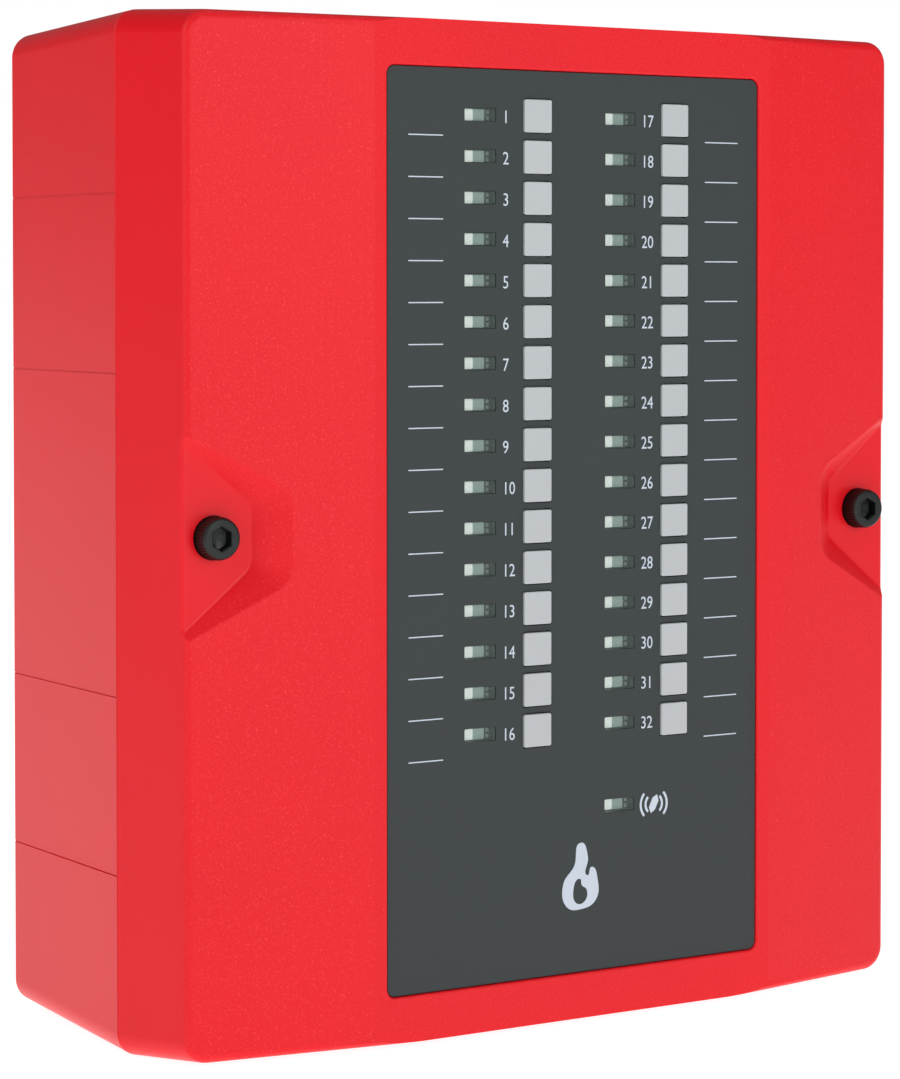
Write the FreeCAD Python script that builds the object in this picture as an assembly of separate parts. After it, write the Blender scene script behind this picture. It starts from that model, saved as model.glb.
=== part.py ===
import FreeCAD, Part
import math
import os

# Fire alarm control panel for a wall. Millimetres. The origin is the centre of the flat back,
# +Z is up, the wall is at +Y and the front looks along -Y. Depths are given as Y values.

os.makedirs("parts", exist_ok=True)

Vector = FreeCAD.Vector

# Enclosure
BACK_HALF_WIDTH = 110.2
BACK_HALF_HEIGHT = 121.5
SEAM_HALF_WIDTH = 112.6
SEAM_HALF_HEIGHT = 123.8
SEAM_Y = -60.5
SEAM_GAP = 0.1
EDGE_HALF_WIDTH = 105.1
EDGE_Y = -81.1
STRIP_HALF_WIDTH = 59.4
FRONT_Y = -90.0
FRONT_HALF_HEIGHT = 122.4
CORNER_RADIUS = 6.0
FRONT_RADIUS = 2.6
WALL = 2.6
BACK_WALL = 3.0
RIM_WIDTH = 6.0
RIM_DEPTH = 4.0
SCORE_HEIGHTS = (-80.6, -38.2, 38.2, 80.6)
SCORE_WIDTH = 0.5
SCORE_DEPTH = 0.35

# Seal between box and cover
SEAL_INSET = 2.6
SEAL_WIDTH = 2.2
SEAL_DEPTH = 2.0
FIT_GAP = 0.1

# Wall screws and rear cable entry
WALL_HOLE_X = 99.0
WALL_HOLE_Z = 105.0
WALL_HOLE_RADIUS = 2.6
ENTRY = (38.0, 88.0, 96.0, 112.0)

# Cover screws, M6 with a socket head
SCREW_X = 97.2
SCREW_HEAD_RADIUS = 5.0
SCREW_HEAD_HEIGHT = 6.0
SCREW_RADIUS = 3.0
SCREW_LENGTH = 25.0
HEX_ACROSS_FLATS = 5.0
HEX_DEPTH = 3.0
SCREW_SEAT_Y = -78.3
HEAD_POCKET_RADIUS = 5.3
CLEAR_HOLE_RADIUS = 3.3
RUNNING_RADIUS = 3.05
WASHER_RADIUS = 4.6
WASHER_THICKNESS = 1.2
WASHER_Y = -67.5
PILLAR_RADIUS = 7.0
PILLAR_TOP_Y = -60.0
INSERT_RADIUS = 4.3
INSERT_LENGTH = 10.0
PILLAR_BORE_END_Y = -42.0

# Recesses in the cover round the two screws
POCKET_FLOOR_Y = -79.7
POCKET_FLOOR_WALL = 4.0
POCKET_END_X = 87.0
POCKET_CORNER_Z = 7.2
POCKET_FLOOR_RADIUS = 4.0
POCKET_SLANT = 39.1
POCKET_WALL_SLOPE = 1.17
POCKET_ROUND_GROWTH = 0.64
POCKET_REACH = 16.0
POCKET_HALF_HEIGHT = 30.0
POCKET_RIM_ROUND = 1.4
POCKET_FLOOR_ROUND = 1.5
OPENING_ROUND = 0.6
SEAM_CHAMFER = 0.25
BACK_ROUND = 0.8

# Fascia and what shows through it
FASCIA_HALF_WIDTH = 55.4
FASCIA_HALF_HEIGHT = 110.9
FASCIA_RADIUS = 2.0
FASCIA_FRONT_Y = -89.4
FASCIA_THICKNESS = 2.0
FASCIA_GAP = 0.25
LEDGE_INNER = 4.0
LEDGE_OUTER = 3.0
LEDGE_THICKNESS = 2.0
ROWS = 16
ROW_PITCH = 10.0
TOP_ROW_Z = 100.0
KEY_COLUMNS = (-12.3, 29.3)
WINDOW_COLUMNS = (-28.9, 12.7)
SOUND_WINDOW_Z = -70.5
KEY_SIZE = 8.0
KEY_OPENING = 8.6
KEY_CORNER = 0.5
KEY_FRONT_Y = -90.0
KEY_FLANGE = 9.2
KEY_FLANGE_THICKNESS = 0.7
STEM_RADIUS = 1.7
STEM_END_Y = -83.1
WINDOW_WIDTH = 9.1
WINDOW_HEIGHT = 3.3
LENS_FRONT_Y = -89.15
LENS_THICKNESS = 1.7
LAMP_WIDTH = 6.0
LAMP_HEIGHT = 2.8
LAMP_SHIFT = -1.4
LAMP_FRONT_Y = -87.0

# Keypad board inside the cover
KEYPAD_HALF_WIDTH = 61.0
KEYPAD_HALF_HEIGHT = 107.0
KEYPAD_FRONT_Y = -80.6
BOARD_THICKNESS = 1.6
BOSS_X = 57.5
BOSS_HEIGHTS = (-101.0, 0.0, 101.0)
BOSS_RADIUS = 3.4
BOARD_SCREW_HEAD_RADIUS = 2.8
BOARD_SCREW_HEAD_HEIGHT = 1.8
BOARD_SCREW_RADIUS = 1.45
BOARD_SCREW_BORE = 1.5
BOARD_SCREW_LENGTH = 6.0
SWITCH_SIZE = 6.0
SWITCH_HEIGHT = 3.5
SWITCH_BORE_DEPTH = 2.1
SWITCH_BORE_RADIUS = 1.75

# Boards in the box
BOARD_BACK_Y = -11.0
BOARD_FRONT_Y = BOARD_BACK_Y - BOARD_THICKNESS
MAIN_BOARD = (-88.0, 32.0, -40.0, 110.0)
MAIN_BOARD_POSTS = ((-83.5, -35.5), (-28.0, -35.5), (27.5, -35.5), (-83.5, 88.0), (27.5, 88.0))
POWER_BOARD = (40.0, 88.0, -40.0, 72.0)
POWER_BOARD_POSTS = ((44.5, -36.5), (83.5, -36.5), (44.5, 45.0), (83.5, 45.0))
POST_RADIUS = 4.0

# Battery, 178 x 34 x 61, standing in its tray
BATTERY_HALF_LENGTH = 89.0
BATTERY_BOTTOM_Z = -113.0
BATTERY_HEIGHT = 61.0
BATTERY_BACK_Y = -3.2
BATTERY_THICKNESS = 34.0
TAB_COLUMNS = (62.0, 82.0)
TAB_Y = -28.0
STRAP_HALF_WIDTH = 9.0
STRAP_THICKNESS = 1.2

# Ribbon lead from the keypad board to the main board
RIBBON_HALF_WIDTH = 16.0
RIBBON_THICKNESS = 0.9
RIBBON_BEND = 9.0
RIBBON_TOP_Z = 10.0
RIBBON_LOW_Z = -30.0
PLUG_HALF_LENGTH = 19.3
PLUG_HALF_WIDTH = 3.0
LEAD_RADIUS = 1.1
LEAD_BEND = 6.0
LEAD_BEND_Z = -12.0
LEAD_END_Z = -22.0
LEAD_SOCKET_HEIGHT = 9.0

# Parts on the main board: centre x and z, width, height and how far they stand off the board
CHIPS = (
    (-44.0, 52.0, 20.0, 20.0, 1.6),
    (-12.0, 56.0, 10.0, 8.0, 1.6),
    (-12.0, 36.0, 10.0, 8.0, 1.6),
    (-44.0, 28.0, 12.0, 4.0, 3.5),
    (8.0, 56.0, 7.0, 5.0, 2.2),
    (8.0, 36.0, 7.0, 5.0, 2.2),
)
RELAY_COLUMNS = (-66.0, -49.0, -32.0, -15.0)
RELAY = (-20.0, 12.0, 20.0, 10.0)
CAPACITOR_COLUMNS = (2.0, 13.0, 24.0)
CAPACITOR = (-22.0, 4.0, 12.0)
LINE_COLUMNS = 8
LINE_FIRST_X = -70.0
LINE_PITCH = 11.0
LINE_CHIP = (74.0, 6.0, 4.0, 1.8)
LINE_RESISTOR = (82.0, 2.5, 4.5, 1.2)
HEADER_WALL = (4.0, 3.2)
HEADER_DEPTH = 9.0
SOUNDER = (-62.0, 2.0, 11.0, 9.0)

# Terminal blocks along the main board's upper and left edges
TERMINAL_LENGTH = 15.2
TERMINAL_WIDTH = 10.0
TERMINAL_DEPTH = 13.0
TERMINAL_PITCH = 16.0
TERMINAL_WAYS = (-5.0, 0.0, 5.0)
TERMINAL_WELL = 1.9
TERMINAL_THROAT = 1.7
UPPER_TERMINALS = 7
LEFT_TERMINALS = 3
LEFT_TERMINAL_Z = 18.0

# Power board: centre x and z, then sizes and how far each part stands off the board
TRANSFORMER = (64.0, 22.0, 30.0, 28.0, 26.0)
TRANSFORMER_CORE = (36.0, 14.0, 22.0)
POWER_CANS = ((50.0, -10.0, 6.5, 22.0), (50.0, -24.0, 5.0, 16.0))
HEAT_SINK = (64.0, 44.0, 26.0, 8.0, 24.0)
HEAT_SINK_BASE = 1.6
FIN_PITCH = 4.0
FIN_COUNT = 5
LEAD_CONNECTOR = (72.0, -27.0, 26.0, 10.0, 8.0)
MAINS_TERMINAL = (57.0, 63.0, 28.0, 14.0, 16.0)
MAINS_WAYS = (-9.0, 0.0, 9.0)
FUSE_HOLDER = (80.0, 62.0, 9.0, 16.0, 9.0)
FUSE_RADIUS = 2.6
FUSE_LENGTH = 20.0

# Tamper switch under the cover's rim
TAMPER_X = 62.0
TAMPER_Z = 84.0
TAMPER_TOP_Y = -52.0
TAMPER_PLUNGER_RADIUS = 2.0
TAMPER_PLUNGER_TIP_Y = -58.0
TAMPER_STROKE = 1.5


def block(x0, x1, y0, y1, z0, z1):
    """A plain block between two corners."""
    return Part.makeBox(x1 - x0, y1 - y0, z1 - z0, Vector(x0, y0, z0))


def bar(x, z, radius, y0, y1):
    """A round bar along Y between two depths."""
    return Part.makeCylinder(radius, y1 - y0, Vector(x, y0, z), Vector(0, 1, 0))


def rectangle(half_x, half_z, x=0.0, z=0.0):
    """The four corners of a rectangle seen from the front."""
    signs = ((-1, -1), (1, -1), (1, 1), (-1, 1))
    return [(x + across * half_x, z + up * half_z) for across, up in signs]


def outline(corners, radius, y):
    """A closed outline at depth y, with every corner rounded."""
    arcs = []
    for index, corner in enumerate(corners):
        here = Vector(corner[0], y, corner[1])
        before = Vector(corners[index - 1][0], y, corners[index - 1][1]) - here
        following = corners[(index + 1) % len(corners)]
        after = Vector(following[0], y, following[1]) - here
        before.normalize()
        after.normalize()
        half_turn = before.getAngle(after) / 2
        reach = radius / math.tan(half_turn)
        inward = before + after
        inward.normalize()
        middle = here + inward * (radius / math.sin(half_turn) - radius)
        arcs.append((here + before * reach, middle, here + after * reach))
    edges = []
    for index, arc in enumerate(arcs):
        edges.append(Part.Arc(arc[0], arc[1], arc[2]).toShape())
        following = arcs[(index + 1) % len(arcs)]
        edges.append(Part.LineSegment(arc[2], following[0]).toShape())
    return Part.Wire(edges)


def plate(corners, radius, y0, y1):
    """A flat plate of a rounded outline between two depths."""
    return Part.Face(outline(corners, radius, y0)).extrude(Vector(0, y1 - y0, 0))


def tapered(corners0, radius0, y0, corners1, radius1, y1):
    """A solid that runs straight from one rounded outline to another."""
    return Part.makeLoft([outline(corners0, radius0, y0), outline(corners1, radius1, y1)], True, True)


def inset_polygon(points, inset):
    """A convex polygon, listed anticlockwise, moved inwards by inset on every side."""
    lines = []
    for index, point in enumerate(points):
        following = points[(index + 1) % len(points)]
        along = (following[0] - point[0], following[1] - point[1])
        length = math.hypot(along[0], along[1])
        normal = (-along[1] / length, along[0] / length)
        offset = normal[0] * point[0] + normal[1] * point[1] + inset
        lines.append((normal[0], normal[1], offset))
    moved = []
    for index, line in enumerate(lines):
        previous = lines[index - 1]
        cross = previous[0] * line[1] - previous[1] * line[0]
        first = (previous[2] * line[1] - previous[1] * line[2]) / cross
        second = (previous[0] * line[2] - previous[2] * line[0]) / cross
        moved.append((first, second))
    return moved


def edges_where(shape, test):
    """The edges whose two ends both pass the test."""
    chosen = []
    for edge in shape.Edges:
        if all(test(vertex.Point) for vertex in edge.Vertexes):
            chosen.append(edge)
    return chosen


def cover_hull(inset, back_y):
    """The cover's faceted outer form, or its hollow when inset is the wall."""
    plan = [
        (-SEAM_HALF_WIDTH, SEAM_Y),
        (-EDGE_HALF_WIDTH, EDGE_Y),
        (-STRIP_HALF_WIDTH, FRONT_Y),
        (STRIP_HALF_WIDTH, FRONT_Y),
        (EDGE_HALF_WIDTH, EDGE_Y),
        (SEAM_HALF_WIDTH, SEAM_Y),
    ]
    side = [
        (SEAM_Y, SEAM_HALF_HEIGHT),
        (FRONT_Y, FRONT_HALF_HEIGHT),
        (FRONT_Y, -FRONT_HALF_HEIGHT),
        (SEAM_Y, -SEAM_HALF_HEIGHT),
    ]
    if inset:
        plan = inset_polygon(plan, inset)
        side = inset_polygon(side, inset)
    plan[0] = (plan[0][0], back_y)
    plan[-1] = (plan[-1][0], back_y)
    side[0] = (back_y, side[0][1])
    side[-1] = (back_y, side[-1][1])
    tall = [Vector(x, y, -SEAM_HALF_HEIGHT * 2) for x, y in plan]
    wide = [Vector(-SEAM_HALF_WIDTH * 2, y, z) for y, z in side]
    upright = Part.Face(Part.makePolygon(tall + tall[:1])).extrude(Vector(0, 0, SEAM_HALF_HEIGHT * 4))
    level = Part.Face(Part.makePolygon(wide + wide[:1])).extrude(Vector(SEAM_HALF_WIDTH * 4, 0, 0))
    hull = upright.common(level)
    limit = EDGE_HALF_WIDTH - inset - 0.5
    corners = edges_where(hull, lambda p: abs(p.x) > limit and abs(p.z) > FRONT_HALF_HEIGHT - inset - 1)
    corners = [edge for edge in corners if abs(edge.Vertexes[0].Point.y - edge.Vertexes[1].Point.y) > 1]
    hull = hull.makeFillet(CORNER_RADIUS - inset, corners)
    if not inset:
        front = edges_where(hull, lambda p: p.y < EDGE_Y + 1.5)
        front = [edge for edge in front if edge.Length > 1 and not is_crease(edge)]
        hull = hull.makeFillet(FRONT_RADIUS, front)
    return hull


def is_crease(edge):
    """True for the two upright creases beside the flat middle strip."""
    ends = [vertex.Point for vertex in edge.Vertexes]
    return all(abs(abs(end.x) - STRIP_HALF_WIDTH) < 0.1 for end in ends)


def pocket_corners(side, grow):
    """The outline of a screw recess, with its walls moved out by grow."""
    slant = math.radians(POCKET_SLANT)
    normal = (math.sin(slant), math.cos(slant))
    offset = -POCKET_END_X * normal[0] + POCKET_CORNER_Z * normal[1] + grow
    outer_x = -SEAM_HALF_WIDTH - POCKET_REACH
    end_x = -POCKET_END_X + grow
    outer_z = (offset - outer_x * normal[0]) / normal[1]
    end_z = (offset - end_x * normal[0]) / normal[1]
    corners = [(outer_x, -outer_z), (end_x, -end_z), (end_x, end_z), (outer_x, outer_z)]
    return [(-side * x, z) for x, z in corners]


def pocket(side, wall, floor_y):
    """The slanted recess round one cover screw, or the larger form that leaves a wall round it."""
    front_y = FRONT_Y - 4.0
    depth = POCKET_FLOOR_Y - front_y
    floor_round = POCKET_FLOOR_RADIUS
    front_round = floor_round + POCKET_ROUND_GROWTH * depth
    extra = wall * math.hypot(1, POCKET_WALL_SLOPE)
    back_grow = extra - POCKET_WALL_SLOPE * (floor_y - POCKET_FLOOR_Y)
    front_grow = extra + POCKET_WALL_SLOPE * depth
    return tapered(
        pocket_corners(side, back_grow), floor_round, floor_y,
        pocket_corners(side, front_grow), front_round, front_y
    )


def rounded_pockets(cover):
    """The cover with both recesses' floors and rims rounded."""
    floor = edges_where(cover, lambda p: abs(p.z) < POCKET_HALF_HEIGHT and abs(p.y - POCKET_FLOOR_Y) < 0.01)
    floor = [edge for edge in floor if min(abs(vertex.Point.x) for vertex in edge.Vertexes) < SCREW_X]
    cover = cover.makeFillet(POCKET_FLOOR_ROUND, floor)
    rims = []
    for edge in edges_where(cover, lambda p: abs(p.z) < POCKET_HALF_HEIGHT):
        middle = edge.valueAt((edge.FirstParameter + edge.LastParameter) / 2)
        facet_y = FRONT_Y + (abs(middle.x) - STRIP_HALF_WIDTH) * facet_slope()
        if abs(middle.y - facet_y) < 0.05 and edge.Length > 1 and abs(middle.x) < EDGE_HALF_WIDTH - 1:
            rims.append(edge)
    return cover.makeFillet(POCKET_RIM_ROUND, rims)


def facet_slope():
    """How far the cover's side facets fall back for each millimetre outwards."""
    return (EDGE_Y - FRONT_Y) / (EDGE_HALF_WIDTH - STRIP_HALF_WIDTH)


def seam_relief(y, direction):
    """What is cut from box or cover to ease its outer edge at the seam."""
    far_y = y + direction * 1.6 * SEAM_CHAMFER
    grow = 0.6 * SEAM_CHAMFER
    small = rectangle(SEAM_HALF_WIDTH - SEAM_CHAMFER, SEAM_HALF_HEIGHT - SEAM_CHAMFER)
    large = rectangle(SEAM_HALF_WIDTH + grow, SEAM_HALF_HEIGHT + grow)
    kept = tapered(small, CORNER_RADIUS - SEAM_CHAMFER, y, large, CORNER_RADIUS + grow, far_y)
    around = rectangle(SEAM_HALF_WIDTH + 5, SEAM_HALF_HEIGHT + 5)
    return plate(around, CORNER_RADIUS, y, far_y).cut(kept)


def key_places():
    """The 32 key centres, down the left column and then down the right one."""
    places = []
    for column in KEY_COLUMNS:
        for row in range(ROWS):
            places.append((column, TOP_ROW_Z - row * ROW_PITCH))
    return places


def window_places():
    """The 32 lamp windows and the one beside the sounder symbol."""
    places = []
    for column in WINDOW_COLUMNS:
        for row in range(ROWS):
            places.append((column, TOP_ROW_Z - row * ROW_PITCH))
    places.append((WINDOW_COLUMNS[1], SOUND_WINDOW_Z))
    return places


def boss_places():
    """The six screws of the keypad board."""
    return [(side * BOSS_X, height) for side in (-1, 1) for height in BOSS_HEIGHTS]


def ring_at_rim(outer_inset, inner_inset, y0, y1):
    """A closed ring that follows the rim of box and cover."""
    outer = rectangle(SEAM_HALF_WIDTH - outer_inset, SEAM_HALF_HEIGHT - outer_inset)
    inner = rectangle(SEAM_HALF_WIDTH - inner_inset, SEAM_HALF_HEIGHT - inner_inset)
    outer_round = max(CORNER_RADIUS - outer_inset, 1.0)
    inner_round = max(CORNER_RADIUS - inner_inset, 1.0)
    return plate(outer, outer_round, y0, y1).cut(plate(inner, inner_round, y0 - 1, y1 + 1))


def make_back_box():
    back = rectangle(BACK_HALF_WIDTH, BACK_HALF_HEIGHT)
    seam = rectangle(SEAM_HALF_WIDTH, SEAM_HALF_HEIGHT)
    shell = tapered(back, CORNER_RADIUS, 0, seam, CORNER_RADIUS, SEAM_Y)
    shell = shell.cut(seam_relief(SEAM_Y, 1))
    shell = shell.makeFillet(BACK_ROUND, edges_where(shell, lambda p: abs(p.y) < 0.01))
    hollow_back = rectangle(BACK_HALF_WIDTH - WALL, BACK_HALF_HEIGHT - WALL)
    hollow_seam = rectangle(SEAM_HALF_WIDTH - WALL, SEAM_HALF_HEIGHT - WALL)
    hollow_round = CORNER_RADIUS - WALL
    hollow = tapered(hollow_back, hollow_round, -BACK_WALL, hollow_seam, hollow_round, SEAM_Y - 1)
    box = shell.cut(hollow)
    rim = ring_at_rim(1.0, RIM_WIDTH, SEAM_Y, SEAM_Y + RIM_DEPTH)
    box = box.fuse(rim)
    additions = []
    for side in (-1, 1):
        additions.append(bar(side * SCREW_X, 0, PILLAR_RADIUS, PILLAR_TOP_Y, -1))
        web = (side * SCREW_X, side * (BACK_HALF_WIDTH - 1))
        additions.append(block(min(web), max(web), PILLAR_TOP_Y + 8, -1, -1.5, 1.5))
        additions.append(bar(side * WALL_HOLE_X, WALL_HOLE_Z, 7, -BACK_WALL - 1.5, -1))
        additions.append(bar(side * WALL_HOLE_X, -WALL_HOLE_Z, 7, -BACK_WALL - 1.5, -1))
        tray = (side * (BATTERY_HALF_LENGTH + 0.4), side * (BATTERY_HALF_LENGTH + 2.0))
        additions.append(block(min(tray), max(tray), -16, -1, BATTERY_BOTTOM_Z, BATTERY_BOTTOM_Z + 30))
    for x, z in MAIN_BOARD_POSTS + POWER_BOARD_POSTS:
        additions.append(bar(x, z, POST_RADIUS, BOARD_BACK_Y, -1))
    additions.append(block(-80, 80, -12, -1, BATTERY_BOTTOM_Z - 2.0, BATTERY_BOTTOM_Z - 0.4))
    for addition in additions:
        box = box.fuse(addition)
    removals = []
    for side in (-1, 1):
        insert_bottom_y = PILLAR_TOP_Y + INSERT_LENGTH
        removals.append(bar(side * SCREW_X, 0, INSERT_RADIUS + 0.02, PILLAR_TOP_Y - 1, insert_bottom_y))
        removals.append(bar(side * SCREW_X, 0, CLEAR_HOLE_RADIUS, PILLAR_TOP_Y, PILLAR_BORE_END_Y))
        for height in (-WALL_HOLE_Z, WALL_HOLE_Z):
            removals.append(bar(side * WALL_HOLE_X, height, WALL_HOLE_RADIUS, -8, 1))
    for x, z in MAIN_BOARD_POSTS + POWER_BOARD_POSTS:
        removals.append(bar(x, z, BOARD_SCREW_BORE, BOARD_BACK_Y - 1, BOARD_BACK_Y + BOARD_SCREW_LENGTH))
    removals.append(block(ENTRY[0], ENTRY[1], -8, 1, ENTRY[2], ENTRY[3]))
    seal_edge = SEAL_INSET + SEAL_WIDTH
    removals.append(ring_at_rim(SEAL_INSET, seal_edge, SEAM_Y - 1, SEAM_Y + SEAL_DEPTH))
    for removal in removals:
        box = box.cut(removal)
    scored = tapered(
        rectangle(BACK_HALF_WIDTH - SCORE_DEPTH, BACK_HALF_HEIGHT),
        CORNER_RADIUS,
        1,
        rectangle(SEAM_HALF_WIDTH - SCORE_DEPTH, SEAM_HALF_HEIGHT),
        CORNER_RADIUS,
        SEAM_Y - 1,
    )
    for height in SCORE_HEIGHTS:
        score = block(-200, 200, SEAM_Y - 0.5, 0.5, height - SCORE_WIDTH / 2, height + SCORE_WIDTH / 2)
        box = box.cut(score.cut(scored))
    return box


def make_front_cover():
    back_y = SEAM_Y - SEAM_GAP
    cover = cover_hull(0, back_y)
    for side in (-1, 1):
        cover = cover.cut(pocket(side, 0, POCKET_FLOOR_Y))
    cover = rounded_pockets(cover)
    cover = cover.cut(seam_relief(back_y, -1))
    hollow = cover_hull(WALL, back_y + 1)
    for side in (-1, 1):
        hollow = hollow.cut(pocket(side, WALL, POCKET_FLOOR_Y + POCKET_FLOOR_WALL))
    cover = cover.cut(hollow)
    cover = cover.fuse(ring_at_rim(1.2, RIM_WIDTH, back_y - RIM_DEPTH + 1, back_y))
    ledge_outer = rectangle(FASCIA_HALF_WIDTH + LEDGE_OUTER, FASCIA_HALF_HEIGHT + LEDGE_OUTER)
    ledge_inner = rectangle(FASCIA_HALF_WIDTH - LEDGE_INNER, FASCIA_HALF_HEIGHT - LEDGE_INNER)
    ledge_y = FASCIA_FRONT_Y + FASCIA_THICKNESS
    cover = cover.fuse(plate(ledge_outer, 3.0, FRONT_Y + WALL - 1, ledge_y + LEDGE_THICKNESS))
    for x, z in boss_places():
        cover = cover.fuse(bar(x, z, BOSS_RADIUS, FRONT_Y + 1.5, KEYPAD_FRONT_Y))
    opening = rectangle(FASCIA_HALF_WIDTH + FASCIA_GAP, FASCIA_HALF_HEIGHT + FASCIA_GAP)
    cover = cover.cut(plate(opening, FASCIA_RADIUS + FASCIA_GAP, FRONT_Y - 2, ledge_y))
    rim = edges_where(cover, lambda p: abs(p.y - FRONT_Y) < 0.01 and abs(p.x) < STRIP_HALF_WIDTH - 1)
    rim = [edge for edge in rim if abs(edge.Vertexes[0].Point.z) < FRONT_HALF_HEIGHT - 5]
    cover = cover.makeFillet(OPENING_ROUND, rim)
    cover = cover.cut(plate(ledge_inner, 2.0, FRONT_Y - 2, ledge_y + LEDGE_THICKNESS + 1))
    for x, z in boss_places():
        end_y = KEYPAD_FRONT_Y - BOARD_SCREW_LENGTH + 0.2
        cover = cover.cut(bar(x, z, BOARD_SCREW_BORE, end_y, KEYPAD_FRONT_Y + 1))
    for side in (-1, 1):
        cover = cover.cut(bar(side * SCREW_X, 0, CLEAR_HOLE_RADIUS, FRONT_Y, SEAM_Y))
        cover = cover.cut(bar(side * SCREW_X, 0, HEAD_POCKET_RADIUS, FRONT_Y, SCREW_SEAT_Y))
    post = bar(TAMPER_X, TAMPER_Z, 3.0, FRONT_Y + WALL - 1, TAMPER_PLUNGER_TIP_Y - 0.3)
    return cover.fuse(post)


def make_cover_seal():
    inner = SEAL_INSET + SEAL_WIDTH - FIT_GAP
    return ring_at_rim(SEAL_INSET + FIT_GAP, inner, SEAM_Y + 0.05, SEAM_Y + SEAL_DEPTH)


def make_cover_screw(side):
    head_y = SCREW_SEAT_Y - SCREW_HEAD_HEIGHT
    x = side * SCREW_X
    head = bar(x, 0, SCREW_HEAD_RADIUS, head_y, SCREW_SEAT_Y)
    rim = edges_where(head, lambda p: p.y < head_y + 0.1)
    head = head.makeChamfer(0.5, [edge for edge in rim if edge.Length > 20])
    shank = bar(x, 0, SCREW_RADIUS, SCREW_SEAT_Y - 1, SCREW_SEAT_Y + SCREW_LENGTH)
    screw = head.fuse(shank)
    corner = HEX_ACROSS_FLATS / math.sqrt(3)
    points = []
    for step in range(7):
        turn = math.radians(60 * step + 30)
        points.append(Vector(x + corner * math.cos(turn), head_y - 1, corner * math.sin(turn)))
    hexagon = Part.Face(Part.makePolygon(points)).extrude(Vector(0, HEX_DEPTH + 1, 0))
    return screw.cut(hexagon)


def make_captive_washer(side):
    x = side * SCREW_X
    disc = bar(x, 0, WASHER_RADIUS, WASHER_Y, WASHER_Y + WASHER_THICKNESS)
    return disc.cut(bar(x, 0, RUNNING_RADIUS, WASHER_Y - 1, WASHER_Y + WASHER_THICKNESS + 1))


def make_thread_inserts():
    rings = []
    for side in (-1, 1):
        end_y = PILLAR_TOP_Y + INSERT_LENGTH
        ring = bar(side * SCREW_X, 0, INSERT_RADIUS, PILLAR_TOP_Y, end_y)
        rings.append(ring.cut(bar(side * SCREW_X, 0, RUNNING_RADIUS, PILLAR_TOP_Y - 1, end_y + 1)))
    return Part.makeCompound(rings)


def make_fascia_panel():
    back_y = FASCIA_FRONT_Y + FASCIA_THICKNESS
    panel = plate(rectangle(FASCIA_HALF_WIDTH, FASCIA_HALF_HEIGHT), FASCIA_RADIUS, FASCIA_FRONT_Y, back_y)
    openings = []
    half = KEY_OPENING / 2
    for x, z in key_places():
        openings.append(plate(rectangle(half, half, x, z), KEY_CORNER + 0.3, FASCIA_FRONT_Y - 1, back_y + 1))
    for x, z in window_places():
        window = rectangle(WINDOW_WIDTH / 2, WINDOW_HEIGHT / 2, x, z)
        openings.append(plate(window, 0.3, FASCIA_FRONT_Y - 1, back_y + 1))
    return panel.cut(Part.makeCompound(openings))


def make_window_lenses():
    lenses = []
    for x, z in window_places():
        shape = rectangle(WINDOW_WIDTH / 2 - FIT_GAP, WINDOW_HEIGHT / 2 - FIT_GAP, x, z)
        lenses.append(plate(shape, 0.2, LENS_FRONT_Y, LENS_FRONT_Y + LENS_THICKNESS))
    return Part.makeCompound(lenses)


def make_indicator_lamps():
    lamps = []
    for x, z in window_places():
        shape = rectangle(LAMP_WIDTH / 2, LAMP_HEIGHT / 2, x + LAMP_SHIFT, z)
        lamps.append(plate(shape, 0.3, LAMP_FRONT_Y, KEYPAD_FRONT_Y))
    return Part.makeCompound(lamps)


def make_key(x, z):
    flange_y = FASCIA_FRONT_Y + FASCIA_THICKNESS + FIT_GAP
    flange_end = flange_y + KEY_FLANGE_THICKNESS
    cap = plate(rectangle(KEY_SIZE / 2, KEY_SIZE / 2, x, z), KEY_CORNER, KEY_FRONT_Y, flange_y + 0.1)
    face_edges = edges_where(cap, lambda p: p.y < KEY_FRONT_Y + 0.01)
    cap = cap.makeFillet(0.2, face_edges)
    flange = plate(rectangle(KEY_FLANGE / 2, KEY_FLANGE / 2, x, z), KEY_CORNER, flange_y, flange_end)
    stem = bar(x, z, STEM_RADIUS, flange_end - 0.2, STEM_END_Y)
    return cap.fuse(flange).fuse(stem)


def make_tact_switches():
    switches = []
    top_y = KEYPAD_FRONT_Y - SWITCH_HEIGHT
    half = SWITCH_SIZE / 2
    for x, z in key_places():
        switch = plate(rectangle(half, half, x, z), 0.4, top_y, KEYPAD_FRONT_Y)
        switches.append(switch.cut(bar(x, z, SWITCH_BORE_RADIUS, top_y - 1, top_y + SWITCH_BORE_DEPTH)))
    return Part.makeCompound(switches)


def make_keypad_board():
    back_y = KEYPAD_FRONT_Y + BOARD_THICKNESS
    board = plate(rectangle(KEYPAD_HALF_WIDTH, KEYPAD_HALF_HEIGHT), 2.0, KEYPAD_FRONT_Y, back_y)
    holes = [bar(x, z, 1.7, KEYPAD_FRONT_Y - 1, back_y + 1) for x, z in boss_places()]
    holes.append(bar(TAMPER_X, TAMPER_Z, 4.5, KEYPAD_FRONT_Y - 1, back_y + 1))
    return board.cut(Part.makeCompound(holes))


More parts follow.
